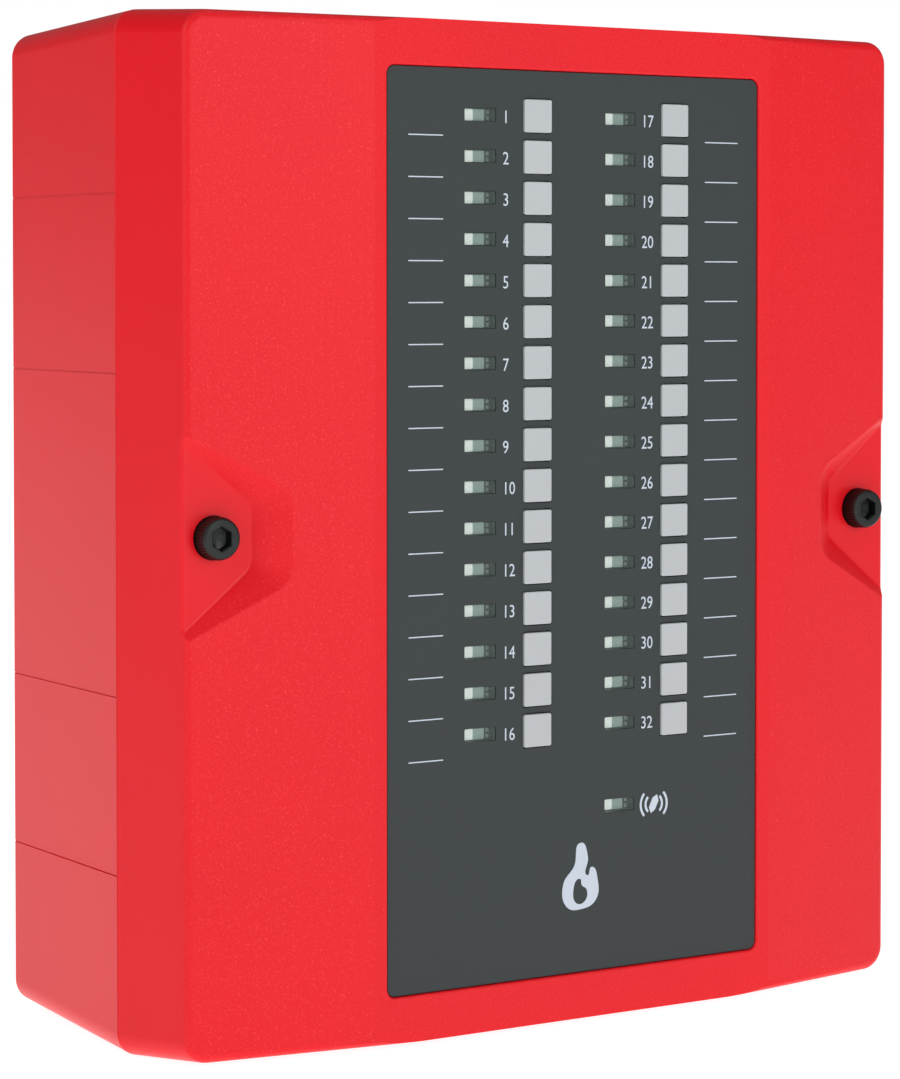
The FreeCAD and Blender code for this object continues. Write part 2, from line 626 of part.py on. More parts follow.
def pan_screw(x, z, board_y):
    """A pan-head board screw with its head on the +Y side of the face at board_y."""
    head = bar(x, z, BOARD_SCREW_HEAD_RADIUS, board_y, board_y + BOARD_SCREW_HEAD_HEIGHT)
    far = edges_where(head, lambda p: p.y > board_y + BOARD_SCREW_HEAD_HEIGHT - 0.1)
    head = head.makeFillet(0.7, [edge for edge in far if edge.Length > 10])
    shank = bar(x, z, BOARD_SCREW_RADIUS, board_y - BOARD_SCREW_LENGTH - 1, board_y + 0.5)
    slot_y = board_y + BOARD_SCREW_HEAD_HEIGHT
    screw = head.fuse(shank)
    screw = screw.cut(block(x - 1.8, x + 1.8, slot_y - 0.9, slot_y + 1, z - 0.4, z + 0.4))
    return screw.cut(block(x - 0.4, x + 0.4, slot_y - 0.9, slot_y + 1, z - 1.8, z + 1.8))


def make_keypad_screws():
    back_y = KEYPAD_FRONT_Y + BOARD_THICKNESS
    return Part.makeCompound([pan_screw(x, z, back_y) for x, z in boss_places()])


def make_board_screws():
    screws = []
    for x, z in MAIN_BOARD_POSTS + POWER_BOARD_POSTS:
        screw = pan_screw(x, z, 0)
        screw.rotate(Vector(x, 0, z), Vector(0, 0, 1), 180)
        screw.translate(Vector(0, BOARD_FRONT_Y, 0))
        screws.append(screw)
    return Part.makeCompound(screws)


def circuit_board(extent, posts):
    """A bare board with its screw holes."""
    x0, x1, z0, z1 = extent
    corners = rectangle((x1 - x0) / 2, (z1 - z0) / 2, (x0 + x1) / 2, (z0 + z1) / 2)
    board = plate(corners, 2.0, BOARD_FRONT_Y, BOARD_BACK_Y)
    holes = [bar(x, z, 1.7, BOARD_FRONT_Y - 1, BOARD_BACK_Y + 1) for x, z in posts]
    return board.cut(Part.makeCompound(holes))


def make_main_board():
    return circuit_board(MAIN_BOARD, MAIN_BOARD_POSTS)


def chip(x, z, width, height, depth):
    """A block-shaped part that stands on a board in the box."""
    corners = rectangle(width / 2, height / 2, x, z)
    return plate(corners, 0.3, BOARD_FRONT_Y - depth, BOARD_FRONT_Y)


def can(x, z, radius, depth):
    """A round part that stands on a board in the box."""
    return bar(x, z, radius, BOARD_FRONT_Y - depth, BOARD_FRONT_Y)


def make_board_parts():
    parts = [chip(*place) for place in CHIPS]
    for x in RELAY_COLUMNS:
        parts.append(chip(x, *RELAY))
    for x in CAPACITOR_COLUMNS:
        parts.append(can(x, *CAPACITOR))
    for column in range(LINE_COLUMNS):
        parts.append(chip(LINE_FIRST_X + column * LINE_PITCH, *LINE_CHIP))
        parts.append(chip(LINE_FIRST_X + column * LINE_PITCH, *LINE_RESISTOR))
    length = PLUG_HALF_LENGTH * 2 + HEADER_WALL[0]
    header = chip(0, RIBBON_TOP_Z, length, PLUG_HALF_WIDTH * 2 + HEADER_WALL[1], HEADER_DEPTH)
    slot_x = PLUG_HALF_LENGTH + 0.3
    slot_z = PLUG_HALF_WIDTH + 0.3
    cavity = block(-slot_x, slot_x, -30, BOARD_FRONT_Y - 1, RIBBON_TOP_Z - slot_z, RIBBON_TOP_Z + slot_z)
    parts.append(header.cut(cavity))
    return Part.makeCompound(parts)


def make_terminal_blocks():
    blocks = []
    top_y = BOARD_FRONT_Y - TERMINAL_DEPTH
    throat_y = (top_y + 5, top_y + 9.5)
    edge_z = MAIN_BOARD[3]
    edge_x = MAIN_BOARD[0]
    for index in range(UPPER_TERMINALS):
        centre = edge_x + 12 + index * TERMINAL_PITCH
        body = chip(centre, edge_z - 6, TERMINAL_LENGTH, TERMINAL_WIDTH, TERMINAL_DEPTH)
        for way in TERMINAL_WAYS:
            x = centre + way
            body = body.cut(bar(x, edge_z - 7, TERMINAL_WELL, top_y - 1, top_y + 4))
            throat_x = (x - TERMINAL_THROAT, x + TERMINAL_THROAT)
            body = body.cut(block(*throat_x, *throat_y, edge_z - 5, edge_z + 10))
        blocks.append(body)
    for index in range(LEFT_TERMINALS):
        centre = LEFT_TERMINAL_Z + index * TERMINAL_PITCH
        body = chip(edge_x + 6, centre, TERMINAL_WIDTH, TERMINAL_LENGTH, TERMINAL_DEPTH)
        for way in TERMINAL_WAYS:
            z = centre + way
            body = body.cut(bar(edge_x + 7, z, TERMINAL_WELL, top_y - 1, top_y + 4))
            throat_z = (z - TERMINAL_THROAT, z + TERMINAL_THROAT)
            body = body.cut(block(edge_x - 7, edge_x + 5, *throat_y, *throat_z))
        blocks.append(body)
    return Part.makeCompound(blocks)


def make_sounder():
    x, z, radius, depth = SOUNDER
    mouth = bar(x, z, 1.5, BOARD_FRONT_Y - depth - 1, BOARD_FRONT_Y - depth + 2)
    return can(x, z, radius, depth).cut(mouth)


def make_power_supply():
    board = circuit_board(POWER_BOARD, POWER_BOARD_POSTS)
    x, z, width, height, depth = TRANSFORMER
    transformer = chip(x, z, width, height, depth)
    core = chip(x, z, *TRANSFORMER_CORE).cut(chip(x, z, width + 0.2, height + 0.2, depth + 4))
    parts = [board, transformer, core]
    for place in POWER_CANS:
        parts.append(can(*place))
    x, z, width, height, depth = HEAT_SINK
    sink = chip(x, z, width, height, depth)
    base_z = z - height / 2 + HEAT_SINK_BASE
    for step in range(FIN_COUNT):
        gap_y = BOARD_FRONT_Y - depth + 3 + step * FIN_PITCH
        sink = sink.cut(block(x - width, x + width, gap_y, gap_y + FIN_PITCH / 2, base_z, z + height))
    parts.append(sink)
    parts.append(chip(*LEAD_CONNECTOR))
    return Part.makeCompound(parts)


def make_mains_terminal():
    x, z, width, height, depth = MAINS_TERMINAL
    top_y = BOARD_FRONT_Y - depth
    body = chip(x, z, width, height, depth)
    for way in MAINS_WAYS:
        body = body.cut(bar(x + way, z - 2, 2.6, top_y - 1, top_y + 5))
        body = body.cut(block(x + way - 2.5, x + way + 2.5, top_y + 6, top_y + 12, z + 1, z + 17))
    holder = chip(*FUSE_HOLDER)
    holder_y = BOARD_FRONT_Y - FUSE_HOLDER[4]
    low_end = Vector(FUSE_HOLDER[0], holder_y - FUSE_RADIUS - 0.4, FUSE_HOLDER[1] - FUSE_LENGTH / 2)
    tube = Part.makeCylinder(FUSE_RADIUS, FUSE_LENGTH, low_end, Vector(0, 0, 1))
    return Part.makeCompound([body, holder, tube])


def make_battery():
    top_z = BATTERY_BOTTOM_Z + BATTERY_HEIGHT
    front_y = BATTERY_BACK_Y - BATTERY_THICKNESS
    case = block(-BATTERY_HALF_LENGTH, BATTERY_HALF_LENGTH, front_y, BATTERY_BACK_Y, BATTERY_BOTTOM_Z, top_z)
    case = case.makeFillet(1.5, [edge for edge in case.Edges if edge.Length < 70])
    tabs = []
    for x in TAB_COLUMNS:
        tabs.append(block(x - 2.4, x + 2.4, TAB_Y - 0.4, TAB_Y + 0.4, top_z, top_z + 6.5))
    return Part.makeCompound([case] + tabs)


def make_battery_strap():
    top_z = BATTERY_BOTTOM_Z + BATTERY_HEIGHT + 0.4
    front_y = BATTERY_BACK_Y - BATTERY_THICKNESS - 0.3
    outer_y = front_y - STRAP_THICKNESS
    low_z = BATTERY_BOTTOM_Z - 0.3
    half = STRAP_HALF_WIDTH
    bridge = block(-half, half, outer_y, front_y, low_z - 1.2, top_z + STRAP_THICKNESS)
    top_leg = block(-half, half, outer_y, -BACK_WALL - 0.2, top_z, top_z + STRAP_THICKNESS)
    foot = block(-half, half, -BACK_WALL - 0.2 - STRAP_THICKNESS, -BACK_WALL - 0.2, top_z, top_z + 9)
    low_leg = block(-half, half, outer_y, -14, low_z - 1.2, low_z)
    return bridge.fuse(top_leg).fuse(foot).fuse(low_leg)


def make_battery_leads():
    tab_z = BATTERY_BOTTOM_Z + BATTERY_HEIGHT + 1.0
    top_z = tab_z + LEAD_SOCKET_HEIGHT
    upward = Vector(0, 0, 1)
    leads = []
    for x in TAB_COLUMNS:
        socket = block(x - 3.2, x + 3.2, TAB_Y - 1.6, TAB_Y + 1.6, tab_z, top_z)
        socket = socket.cut(block(x - 2.6, x + 2.6, TAB_Y - 0.6, TAB_Y + 0.6, tab_z - 1, tab_z + 6.5))
        rise = Part.makeCylinder(LEAD_RADIUS, LEAD_BEND_Z - top_z, Vector(x, TAB_Y, top_z), upward)
        fall_base = Vector(x, TAB_Y + 2 * LEAD_BEND, LEAD_END_Z)
        fall = Part.makeCylinder(LEAD_RADIUS, LEAD_BEND_Z - LEAD_END_Z, fall_base, upward)
        circle = Part.makeCircle(LEAD_RADIUS, Vector(x, TAB_Y, LEAD_BEND_Z), upward)
        section = Part.Face(Part.Wire([circle]))
        bend = section.revolve(Vector(x, TAB_Y + LEAD_BEND, LEAD_BEND_Z), Vector(1, 0, 0), -180)
        leads.append(socket.fuse([rise, bend, fall]))
    return Part.makeCompound(leads)


def make_ribbon_cable():
    half = RIBBON_THICKNESS / 2
    start_y = KEYPAD_FRONT_Y + BOARD_THICKNESS + 8
    bend_y = (start_y - 26.5) / 2 - RIBBON_BEND
    end_y = -26.5
    low = RIBBON_LOW_Z
    high = RIBBON_TOP_Z
    tight = RIBBON_BEND - half
    wide = RIBBON_BEND + half
    first = (bend_y, low + RIBBON_BEND)
    second = (bend_y + 2 * RIBBON_BEND, high - RIBBON_BEND)
    turn = math.sqrt(0.5)

    def at(y, z):
        return Vector(-RIBBON_HALF_WIDTH, y, z)

    edges = [
        Part.LineSegment(at(start_y, low - half), at(first[0], low - half)).toShape(),
        Part.Arc(
            at(first[0], first[1] - wide),
            at(first[0] + wide * turn, first[1] - wide * turn),
            at(first[0] + wide, first[1]),
        ).toShape(),
        Part.LineSegment(at(first[0] + wide, first[1]), at(second[0] - tight, second[1])).toShape(),
        Part.Arc(
            at(second[0] - tight, second[1]),
            at(second[0] - tight * turn, second[1] + tight * turn),
            at(second[0], second[1] + tight),
        ).toShape(),
        Part.LineSegment(at(second[0], high - half), at(end_y, high - half)).toShape(),
        Part.LineSegment(at(end_y, high - half), at(end_y, high + half)).toShape(),
        Part.LineSegment(at(end_y, high + half), at(second[0], high + half)).toShape(),
        Part.Arc(
            at(second[0], second[1] + wide),
            at(second[0] - wide * turn, second[1] + wide * turn),
            at(second[0] - wide, second[1]),
        ).toShape(),
        Part.LineSegment(at(second[0] - wide, second[1]), at(first[0] + tight, first[1])).toShape(),
        Part.Arc(
            at(first[0] + tight, first[1]),
            at(first[0] + tight * turn, first[1] - tight * turn),
            at(first[0], first[1] - tight),
        ).toShape(),
        Part.LineSegment(at(first[0], low + half), at(start_y, low + half)).toShape(),
        Part.LineSegment(at(start_y, low + half), at(start_y, low - half)).toShape(),
    ]
    return Part.Face(Part.Wire(edges)).extrude(Vector(2 * RIBBON_HALF_WIDTH, 0, 0))


def make_ribbon_plugs():
    length = PLUG_HALF_LENGTH
    half = PLUG_HALF_WIDTH
    board_y = KEYPAD_FRONT_Y + BOARD_THICKNESS
    fixed = block(-length, length, board_y, board_y + 8, RIBBON_LOW_Z - half, RIBBON_LOW_Z + half)
    loose = block(-length, length, -26.5, BOARD_FRONT_Y - 1.5, RIBBON_TOP_Z - half, RIBBON_TOP_Z + half)
    return Part.makeCompound([fixed, loose])


def make_tamper_switch():
    post = block(TAMPER_X - 5, TAMPER_X + 5, TAMPER_TOP_Y + 10, -BACK_WALL, TAMPER_Z - 3, TAMPER_Z + 3)
    body_x = (TAMPER_X - 10, TAMPER_X + 10)
    body = block(*body_x, TAMPER_TOP_Y, TAMPER_TOP_Y + 10, TAMPER_Z - 3.2, TAMPER_Z + 3.2)
    body = body.fuse(post)
    bore_end = TAMPER_TOP_Y + 6
    return body.cut(bar(TAMPER_X, TAMPER_Z, TAMPER_PLUNGER_RADIUS + 0.05, TAMPER_TOP_Y - 1, bore_end))


def make_tamper_plunger():
    end_y = TAMPER_TOP_Y + 6 - TAMPER_STROKE - 0.5
    return bar(TAMPER_X, TAMPER_Z, TAMPER_PLUNGER_RADIUS, TAMPER_PLUNGER_TIP_Y, end_y)


def write(name, shape):
    """Write one node as its own STEP file."""
    shape.exportStep("parts/" + name + ".step")


NODES = {
    "back_box": make_back_box(),
    "front_cover": make_front_cover(),
    "cover_seal": make_cover_seal(),
    "cover_screw_left": make_cover_screw(-1),
    "cover_screw_right": make_cover_screw(1),
    "captive_washer_left": make_captive_washer(-1),
    "captive_washer_right": make_captive_washer(1),
    "thread_inserts": make_thread_inserts(),
    "fascia_panel": make_fascia_panel(),
    "window_lenses": make_window_lenses(),
    "indicator_lamps": make_indicator_lamps(),
    "tact_switches": make_tact_switches(),
    "keypad_board": make_keypad_board(),
    "keypad_screws": make_keypad_screws(),
    "ribbon_cable": make_ribbon_cable(),
    "ribbon_plugs": make_ribbon_plugs(),
    "main_board": make_main_board(),
    "board_parts": make_board_parts(),
    "terminal_blocks": make_terminal_blocks(),
    "sounder": make_sounder(),
    "board_screws": make_board_screws(),
    "power_supply": make_power_supply(),
    "mains_terminal": make_mains_terminal(),
    "battery": make_battery(),
    "battery_strap": make_battery_strap(),
    "battery_leads": make_battery_leads(),
    "tamper_switch": make_tamper_switch(),
    "tamper_plunger": make_tamper_plunger(),
}

for number, (key_x, key_z) in enumerate(key_places(), start=1):
    NODES["key_%02d" % number] = make_key(key_x, key_z)

for node_name, node_shape in NODES.items():
    write(node_name, node_shape)
    print(node_name, len(node_shape.Solids), node_shape.isValid(), round(node_shape.Volume, 1))
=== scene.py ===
import math

import bmesh
import bpy
from mathutils import Matrix, Vector


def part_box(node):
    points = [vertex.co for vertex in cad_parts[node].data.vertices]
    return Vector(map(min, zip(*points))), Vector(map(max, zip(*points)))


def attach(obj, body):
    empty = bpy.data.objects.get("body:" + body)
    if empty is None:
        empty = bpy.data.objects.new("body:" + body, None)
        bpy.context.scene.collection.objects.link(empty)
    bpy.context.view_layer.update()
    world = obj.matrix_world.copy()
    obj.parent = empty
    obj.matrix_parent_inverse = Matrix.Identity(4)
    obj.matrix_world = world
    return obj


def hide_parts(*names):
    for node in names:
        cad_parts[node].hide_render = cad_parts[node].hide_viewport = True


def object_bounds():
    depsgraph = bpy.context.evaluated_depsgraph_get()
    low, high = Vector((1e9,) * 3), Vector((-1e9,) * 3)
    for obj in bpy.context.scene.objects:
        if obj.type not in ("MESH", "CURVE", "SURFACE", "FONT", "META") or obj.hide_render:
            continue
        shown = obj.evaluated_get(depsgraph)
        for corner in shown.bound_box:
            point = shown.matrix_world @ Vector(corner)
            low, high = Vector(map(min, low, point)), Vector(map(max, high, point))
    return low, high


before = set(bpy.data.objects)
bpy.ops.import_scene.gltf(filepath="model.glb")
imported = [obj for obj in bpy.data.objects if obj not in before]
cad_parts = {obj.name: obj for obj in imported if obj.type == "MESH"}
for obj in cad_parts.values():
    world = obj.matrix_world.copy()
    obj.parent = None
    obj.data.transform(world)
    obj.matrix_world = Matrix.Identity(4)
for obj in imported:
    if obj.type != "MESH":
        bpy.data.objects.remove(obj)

bl_info = {
    "name": "Fire alarm control panel",
    "version": (1, 0, 0),
    "blender": (4, 5, 0),
    "location": "View3D > Sidebar > Alarm panel",
    "description": "Makes the finished look of a wall-mounted fire alarm control panel around its frame",
    "category": "Object",
}

MM = 0.001
CAD_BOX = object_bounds()


def span(node):
    """The lowest and highest corners of a frame node, in millimetres."""
    low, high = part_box(node)
    return low / MM, high / MM


def middle(node):
    """The middle of a frame node's box, in millimetres."""
    low, high = span(node)
    return (low + high) / 2


# Places and sizes that the frame gives, in millimetres
KEYS = ["key_%02d" % number for number in range(1, 33)]
ROWS = len(KEYS) // 2
ROW_PITCH = middle(KEYS[0]).z - middle(KEYS[1]).z
TOP_ROW_Z = middle(KEYS[0]).z
FASCIA_Y = span("fascia_panel")[0].y
LENS_LOW, LENS_HIGH = span("window_lenses")
LAMP_LOW, LAMP_HIGH = span("indicator_lamps")
BOARD_Y = span("main_board")[0].y
KEYPAD_BACK = span("keypad_board")[1].y

# Sizes of the windows, in millimetres
WINDOW_WIDTH = 8.9
WINDOW_HEIGHT = 3.1
WINDOW_X = (LENS_LOW.x + WINDOW_WIDTH / 2, LENS_HIGH.x - WINDOW_WIDTH / 2)
SOUND_Z = LENS_LOW.z + WINDOW_HEIGHT / 2

# The pins in a row of the board's header and their spacing in millimetres
PIN_COUNT = 13
PIN_PITCH = 2.54

# A solid's share of its box: below the first it is an open shell, below the second it is round
OPEN_FILL = 0.7
ROUND_FILL = 0.82

# Two faces of BIG_FLAT or more meet in a sharp edge, unless it turns by less than FLAT_TURN degrees
FLAT_TURN = 3
BIG_FLAT = 120 * MM * MM

# Where the grained front begins and where it is complete, as places along Y in metres
GRAIN_STARTS = -0.0795
GRAIN_FULL = -0.0815

# Turns a shape about the Y axis to stand along Z
UPRIGHT = Matrix.Rotation(math.pi / 2, 4, "X")


class CaseLooks(bpy.types.PropertyGroup):
    """What a user would change on the red case."""

    red: bpy.props.FloatVectorProperty(
        name="Red", description="Colour of the moulded case", subtype="COLOR", size=3, min=0, max=1,
        default=(0.82, 0.003, 0.011))
    grain: bpy.props.FloatProperty(
        name="Grain", description="Size of the moulded grain", unit="LENGTH", default=0.00045)
    front_gloss: bpy.props.FloatProperty(
        name="Front roughness", description="Roughness of the grained front", subtype="FACTOR", default=0.46)
    side_gloss: bpy.props.FloatProperty(
        name="Side roughness", description="Roughness of the smoother sides", subtype="FACTOR", default=0.34)


class FasciaLooks(bpy.types.PropertyGroup):
    """What a user would change on the fascia."""

    film: bpy.props.FloatVectorProperty(
        name="Film", description="Colour of the dark film", subtype="COLOR", size=3, min=0, max=1,
        default=(0.034, 0.043, 0.044))
    ink: bpy.props.FloatVectorProperty(
        name="Ink", description="Colour of the print", subtype="COLOR", size=3, min=0, max=1,
        default=(0.60, 0.68, 0.77))
    number_height: bpy.props.FloatProperty(
        name="Number height", description="Height of the printed numbers", unit="LENGTH", default=0.0032)
    print_height: bpy.props.FloatProperty(
        name="Print height", description="How far the print stands off the film", unit="LENGTH",
        default=0.00003)
    key: bpy.props.FloatVectorProperty(
        name="Key", description="Colour of the keys", subtype="COLOR", size=3, min=0, max=1,
        default=(0.50, 0.53, 0.55))


class ScrewLooks(bpy.types.PropertyGroup):
    """What a user would change on the cover screws."""

    ribs: bpy.props.IntProperty(name="Ribs", description="Ribs round a screw head", default=40, min=8)
    rib_height: bpy.props.FloatProperty(
        name="Rib height", description="How far a rib stands out", unit="LENGTH", default=0.00022)
    pitch: bpy.props.FloatProperty(
        name="Thread pitch", description="Rise of the thread in one turn", unit="LENGTH", default=0.001)


class BoardLooks(bpy.types.PropertyGroup):
    """What a user would change on the boards inside."""

    mask: bpy.props.FloatVectorProperty(
        name="Board", description="Colour of the boards' coating", subtype="COLOR", size=3, min=0, max=1,
        default=(0.012, 0.115, 0.045))
    share: bpy.props.FloatProperty(
        name="Small parts", description="Share of the places that hold a small part", subtype="FACTOR",
        default=0.55, min=0, max=1)
    seed: bpy.props.IntProperty(name="Seed", description="Seed of the small parts' places", default=7)


class StageLooks(bpy.types.PropertyGroup):
    """What a user would change on the floor, lights and camera."""

    floor: bpy.props.FloatVectorProperty(
        name="Floor", description="Colour of the floor", subtype="COLOR", size=3, min=0, max=1,
        default=(0.60, 0.60, 0.60))
    ambient: bpy.props.FloatProperty(
        name="Ambient", description="Strength of the light from all round", default=0.19)
    place: bpy.props.FloatVectorProperty(
        name="Camera place", description="Where the camera stands", subtype="TRANSLATION", unit="LENGTH",
        size=3, default=(-0.4811, -0.7707, 0.0594))
    heading: bpy.props.FloatProperty(
        name="Heading", description="Camera's turn to the right of straight on", subtype="ANGLE",
        default=math.radians(33.06))
    lens: bpy.props.FloatProperty(
        name="Lens", description="Focal length in millimetres", default=113.07)
    horizon: bpy.props.FloatProperty(
        name="Horizon", description="Horizon's height above the middle, in long sides of the frame",
        default=0.2377)
    shift: bpy.props.FloatProperty(
        name="Shift", description="Camera's vertical shift, in long sides of the frame", default=-0.14)


class Wire:
    """A node's output that takes part in ordinary arithmetic, through Math nodes."""

    def __init__(self, graph, socket):
        self.graph = graph
        self.socket = socket

    def worked(self, operation, *values):
        sockets = dict(enumerate(values))
        return self.graph.node("ShaderNodeMath", {"operation": operation}, sockets)

    def __add__(self, other):
        return self.worked("ADD", self, other)

    def __radd__(self, other):
        return self.worked("ADD", other, self)

    def __sub__(self, other):
        return self.worked("SUBTRACT", self, other)

    def __rsub__(self, other):
        return self.worked("SUBTRACT", other, self)

    def __mul__(self, other):
        return self.worked("MULTIPLY", self, other)

    def __rmul__(self, other):
        return self.worked("MULTIPLY", other, self)

    def __truediv__(self, other):
        return self.worked("DIVIDE", self, other)

    def __lt__(self, other):
        return self.worked("LESS_THAN", self, other)

    def __gt__(self, other):
        return self.worked("GREATER_THAN", self, other)

    def fraction(self):
        return self.worked("FRACT", self)

    def ramp(self, low, high):
        """0 below low and 1 above high, straight between them."""
        sockets = {"Value": self, "From Min": low, "From Max": high}
        return self.graph.node("ShaderNodeMapRange", {"clamp": True}, sockets)


class Graph:
    """A node tree that is built from expressions."""

    def __init__(self, tree):
        self.tree = tree

    def node(self, kind, settings=None, sockets=None, output=0):
        """One node: its settings first, then the values or links of its sockets."""
        made = self.tree.nodes.new(kind)
        for name, value in (settings or {}).items():
            setattr(made, name, value)
        for key, value in (sockets or {}).items():
            self.join(made.inputs[key], value)
        return Wire(self, made.outputs[output]) if len(made.outputs) else made

    def join(self, socket, value):
        if isinstance(value, Wire):
            self.tree.links.new(value.socket, socket)
        else:
            socket.default_value = value


class Finish(Graph):
    """A material whose pattern follows the object's own coordinates."""

    def __init__(self, name):
        self.material = bpy.data.materials.new(name)
        self.material.use_nodes = True
        super().__init__(self.material.node_tree)
        self.shader = self.tree.nodes["Principled BSDF"]
        self.place = self.node("ShaderNodeTexCoord", output="Object")

    def noise(self, size, detail=2.0, place=None):
        """Cloudy noise whose lumps are about size millimetres."""
        sockets = {"Vector": place or self.place, "Scale": 1 / (size * MM), "Detail": detail}
        return self.node("ShaderNodeTexNoise", None, sockets)

    def stretched(self, x, y, z):
        """The object's coordinates, with a pattern drawn out where a number is small."""
        return self.node("ShaderNodeMapping", None, {"Vector": self.place, "Scale": (x, y, z)})

    def axis(self, name):
        return self.node("ShaderNodeSeparateXYZ", None, {"Vector": self.place}, name)

    def mix(self, share, first, second):
        sockets = {0: share, 6: self.colour(first), 7: self.colour(second)}
        return self.node("ShaderNodeMix", {"data_type": "RGBA"}, sockets, 2)

    def colour(self, value):
        return value if isinstance(value, Wire) else (*tuple(value)[:3], 1.0)

    def bump(self, height, depth):
        """Relief of depth millimetres."""
        return self.node("ShaderNodeBump", None, {"Height": height, "Distance": depth * MM}, "Normal")

    def set(self, **sockets):
        """Sets the shader's sockets, whose names are written with _ for a space."""
        for name, value in sockets.items():
            socket = self.shader.inputs[name.replace("_", " ")]
            self.join(socket, self.colour(value) if socket.type == "RGBA" else value)
        return self.material


def shades(colour, change):
    """A darker and a lighter shade of a colour."""
    return [part * (1 - change) for part in colour], [min(part * (1 + change), 1) for part in colour]


def moulded(name, colour, roughness=0.45, grain=0.35, depth=0.010, change=0.10):
    """Moulded plastic: a fine grain, faintly cloudy colour and uneven gloss."""
    finish = Finish(name)
    clouds = finish.noise(14)
    relief = finish.noise(grain)
    dark, light = shades(colour, change)
    return finish.set(
        Base_Color=finish.mix(clouds, dark, light),
        Roughness=roughness - 0.07 + clouds * 0.14,
        Normal=finish.bump(relief, depth))


def metal(name, colour, roughness=0.32, draw=(1.0, 0.08, 1.0), depth=0.004, metallic=1.0):
    """Plated or machined metal with fine tool marks along one way."""
    finish = Finish(name)
    marks = finish.noise(0.12, 3, finish.stretched(*draw))
    clouds = finish.noise(3)
    dark, light = shades(colour, 0.16)
    return finish.set(
        Base_Color=finish.mix(clouds, dark, light),
        Metallic=metallic,
        Roughness=roughness - 0.08 + marks * 0.16,
        Normal=finish.bump(marks, depth))


def case_red(looks):
    """The red case: grained and matt on the front, smoother on the sides."""
    finish = Finish("case red")
    front = 1 - finish.axis("Y").ramp(GRAIN_FULL, GRAIN_STARTS)
    grain = finish.noise(looks.grain / MM, 2)
    pores = finish.noise(looks.grain / MM * 0.45, 1)
    clouds = finish.noise(45)
    # Paler specks on the grained front are a painted highlight: they stand in for the sparkle of light on the
    # grain
    glint_specks = grain.ramp(0.56, 0.72) * front
    dark, light = shades(looks.red, 0.05)
    body = finish.mix(clouds, dark, light)
    with_painted_glints = finish.mix(glint_specks * 0.6, body, [min(part * 1.1 + 0.05, 1) for part in looks.red])
    relief = (grain * 0.7 + pores * 0.3) * (front * 0.8 + 0.2)
    finish.set(Specular_IOR_Level=0.32)
    return finish.set(
        Base_Color=with_painted_glints,
        Roughness=looks.side_gloss + (looks.front_gloss - looks.side_gloss) * front + (grain - 0.5) * 0.12,
        Normal=finish.bump(relief, 0.07))


def fascia_film(looks):
    """The dark film: a velvet grain, with the faintest cloudy patches."""
    finish = Finish("fascia film")
    grain = finish.noise(0.22, 2)
    clouds = finish.noise(30)
    dark, light = shades(looks.film, 0.10)
    finish.set(Specular_IOR_Level=0.35)
    return finish.set(
        Base_Color=finish.mix(grain.ramp(0.3, 0.75) * 0.6 + clouds * 0.4, dark, light),
        Roughness=0.48 + grain * 0.16,
        Normal=finish.bump(grain, 0.014))


def board_coating(name, colour):
    """A circuit board: runs of copper under a glossy coating, with tinned holes."""
    finish = Finish(name)
    flat = finish.stretched(1.0, 0.0, 1.0)
    settings = {"distance": "MANHATTAN"}
    sockets = {"Vector": flat, "Scale": 1 / (9 * MM)}
    field = finish.node("ShaderNodeTexVoronoi", settings, sockets, "Color")
    red = finish.node("ShaderNodeSeparateColor", None, {"Color": field}, "Red")
    green = finish.node("ShaderNodeSeparateColor", None, {"Color": field}, "Green")
    across = (finish.axis("X") / (1.1 * MM)).fraction() < 0.42
    upward = (finish.axis("Z") / (1.1 * MM)).fraction() < 0.42
    sideways = red > 0.5
    tracks = (across * sideways + upward * (1 - sideways)) * (green > 0.22)
    sockets = {"Vector": flat, "Scale": 1 / (4.2 * MM), "Randomness": 0.6}
    holes = finish.node("ShaderNodeTexVoronoi", None, sockets, "Distance") < 0.11
    clouds = finish.noise(20)
    dark, light = shades(colour, 0.12)
    coat = finish.mix(clouds, dark, light)
    tracked = finish.mix(tracks * 0.55, coat, [part * 1.9 + 0.01 for part in colour])
    return finish.set(
        Base_Color=finish.mix(holes, tracked, (0.62, 0.60, 0.52)),
        Metallic=holes * 0.8,
        Roughness=0.28 + clouds * 0.10,
        Normal=finish.bump(tracks * 0.6 + holes, 0.05))


def clear_plastic(name, colour, roughness=0.08):
    """Clear moulded plastic or glass, very slightly uneven."""
    finish = Finish(name)
    ripple = finish.noise(1.6)
    dark, light = shades(colour, 0.04)
    finish.set(IOR=1.49, Transmission_Weight=1.0)
    return finish.set(
        Base_Color=finish.mix(ripple, dark, light),
        Roughness=roughness + ripple * 0.05,
        Normal=finish.bump(ripple, 0.02))


def window_plastic(name, colour, alpha):
    """A thin clear window, seen straight through."""
    finish = Finish(name)
    ripple = finish.noise(1.6)
    dark, light = shades(colour, 0.04)
    finish.set(Alpha=alpha)
    return finish.set(
        Base_Color=finish.mix(ripple, dark, light),
        Roughness=0.10 + ripple * 0.06,
        Normal=finish.bump(ripple, 0.01))


def lit_plastic(name, colour, glow):
    """Pale lamp plastic with a painted glow that stands in for the light its window gathers."""
    finish = Finish(name)
    clouds = finish.noise(0.8)
    dark, light = shades(colour, 0.12)
    shade = finish.mix(clouds, dark, light)
    finish.set(Emission_Strength=glow)
    return finish.set(Base_Color=shade, Roughness=0.3 + clouds * 0.1, Emission_Color=shade)


MATERIALS = {}


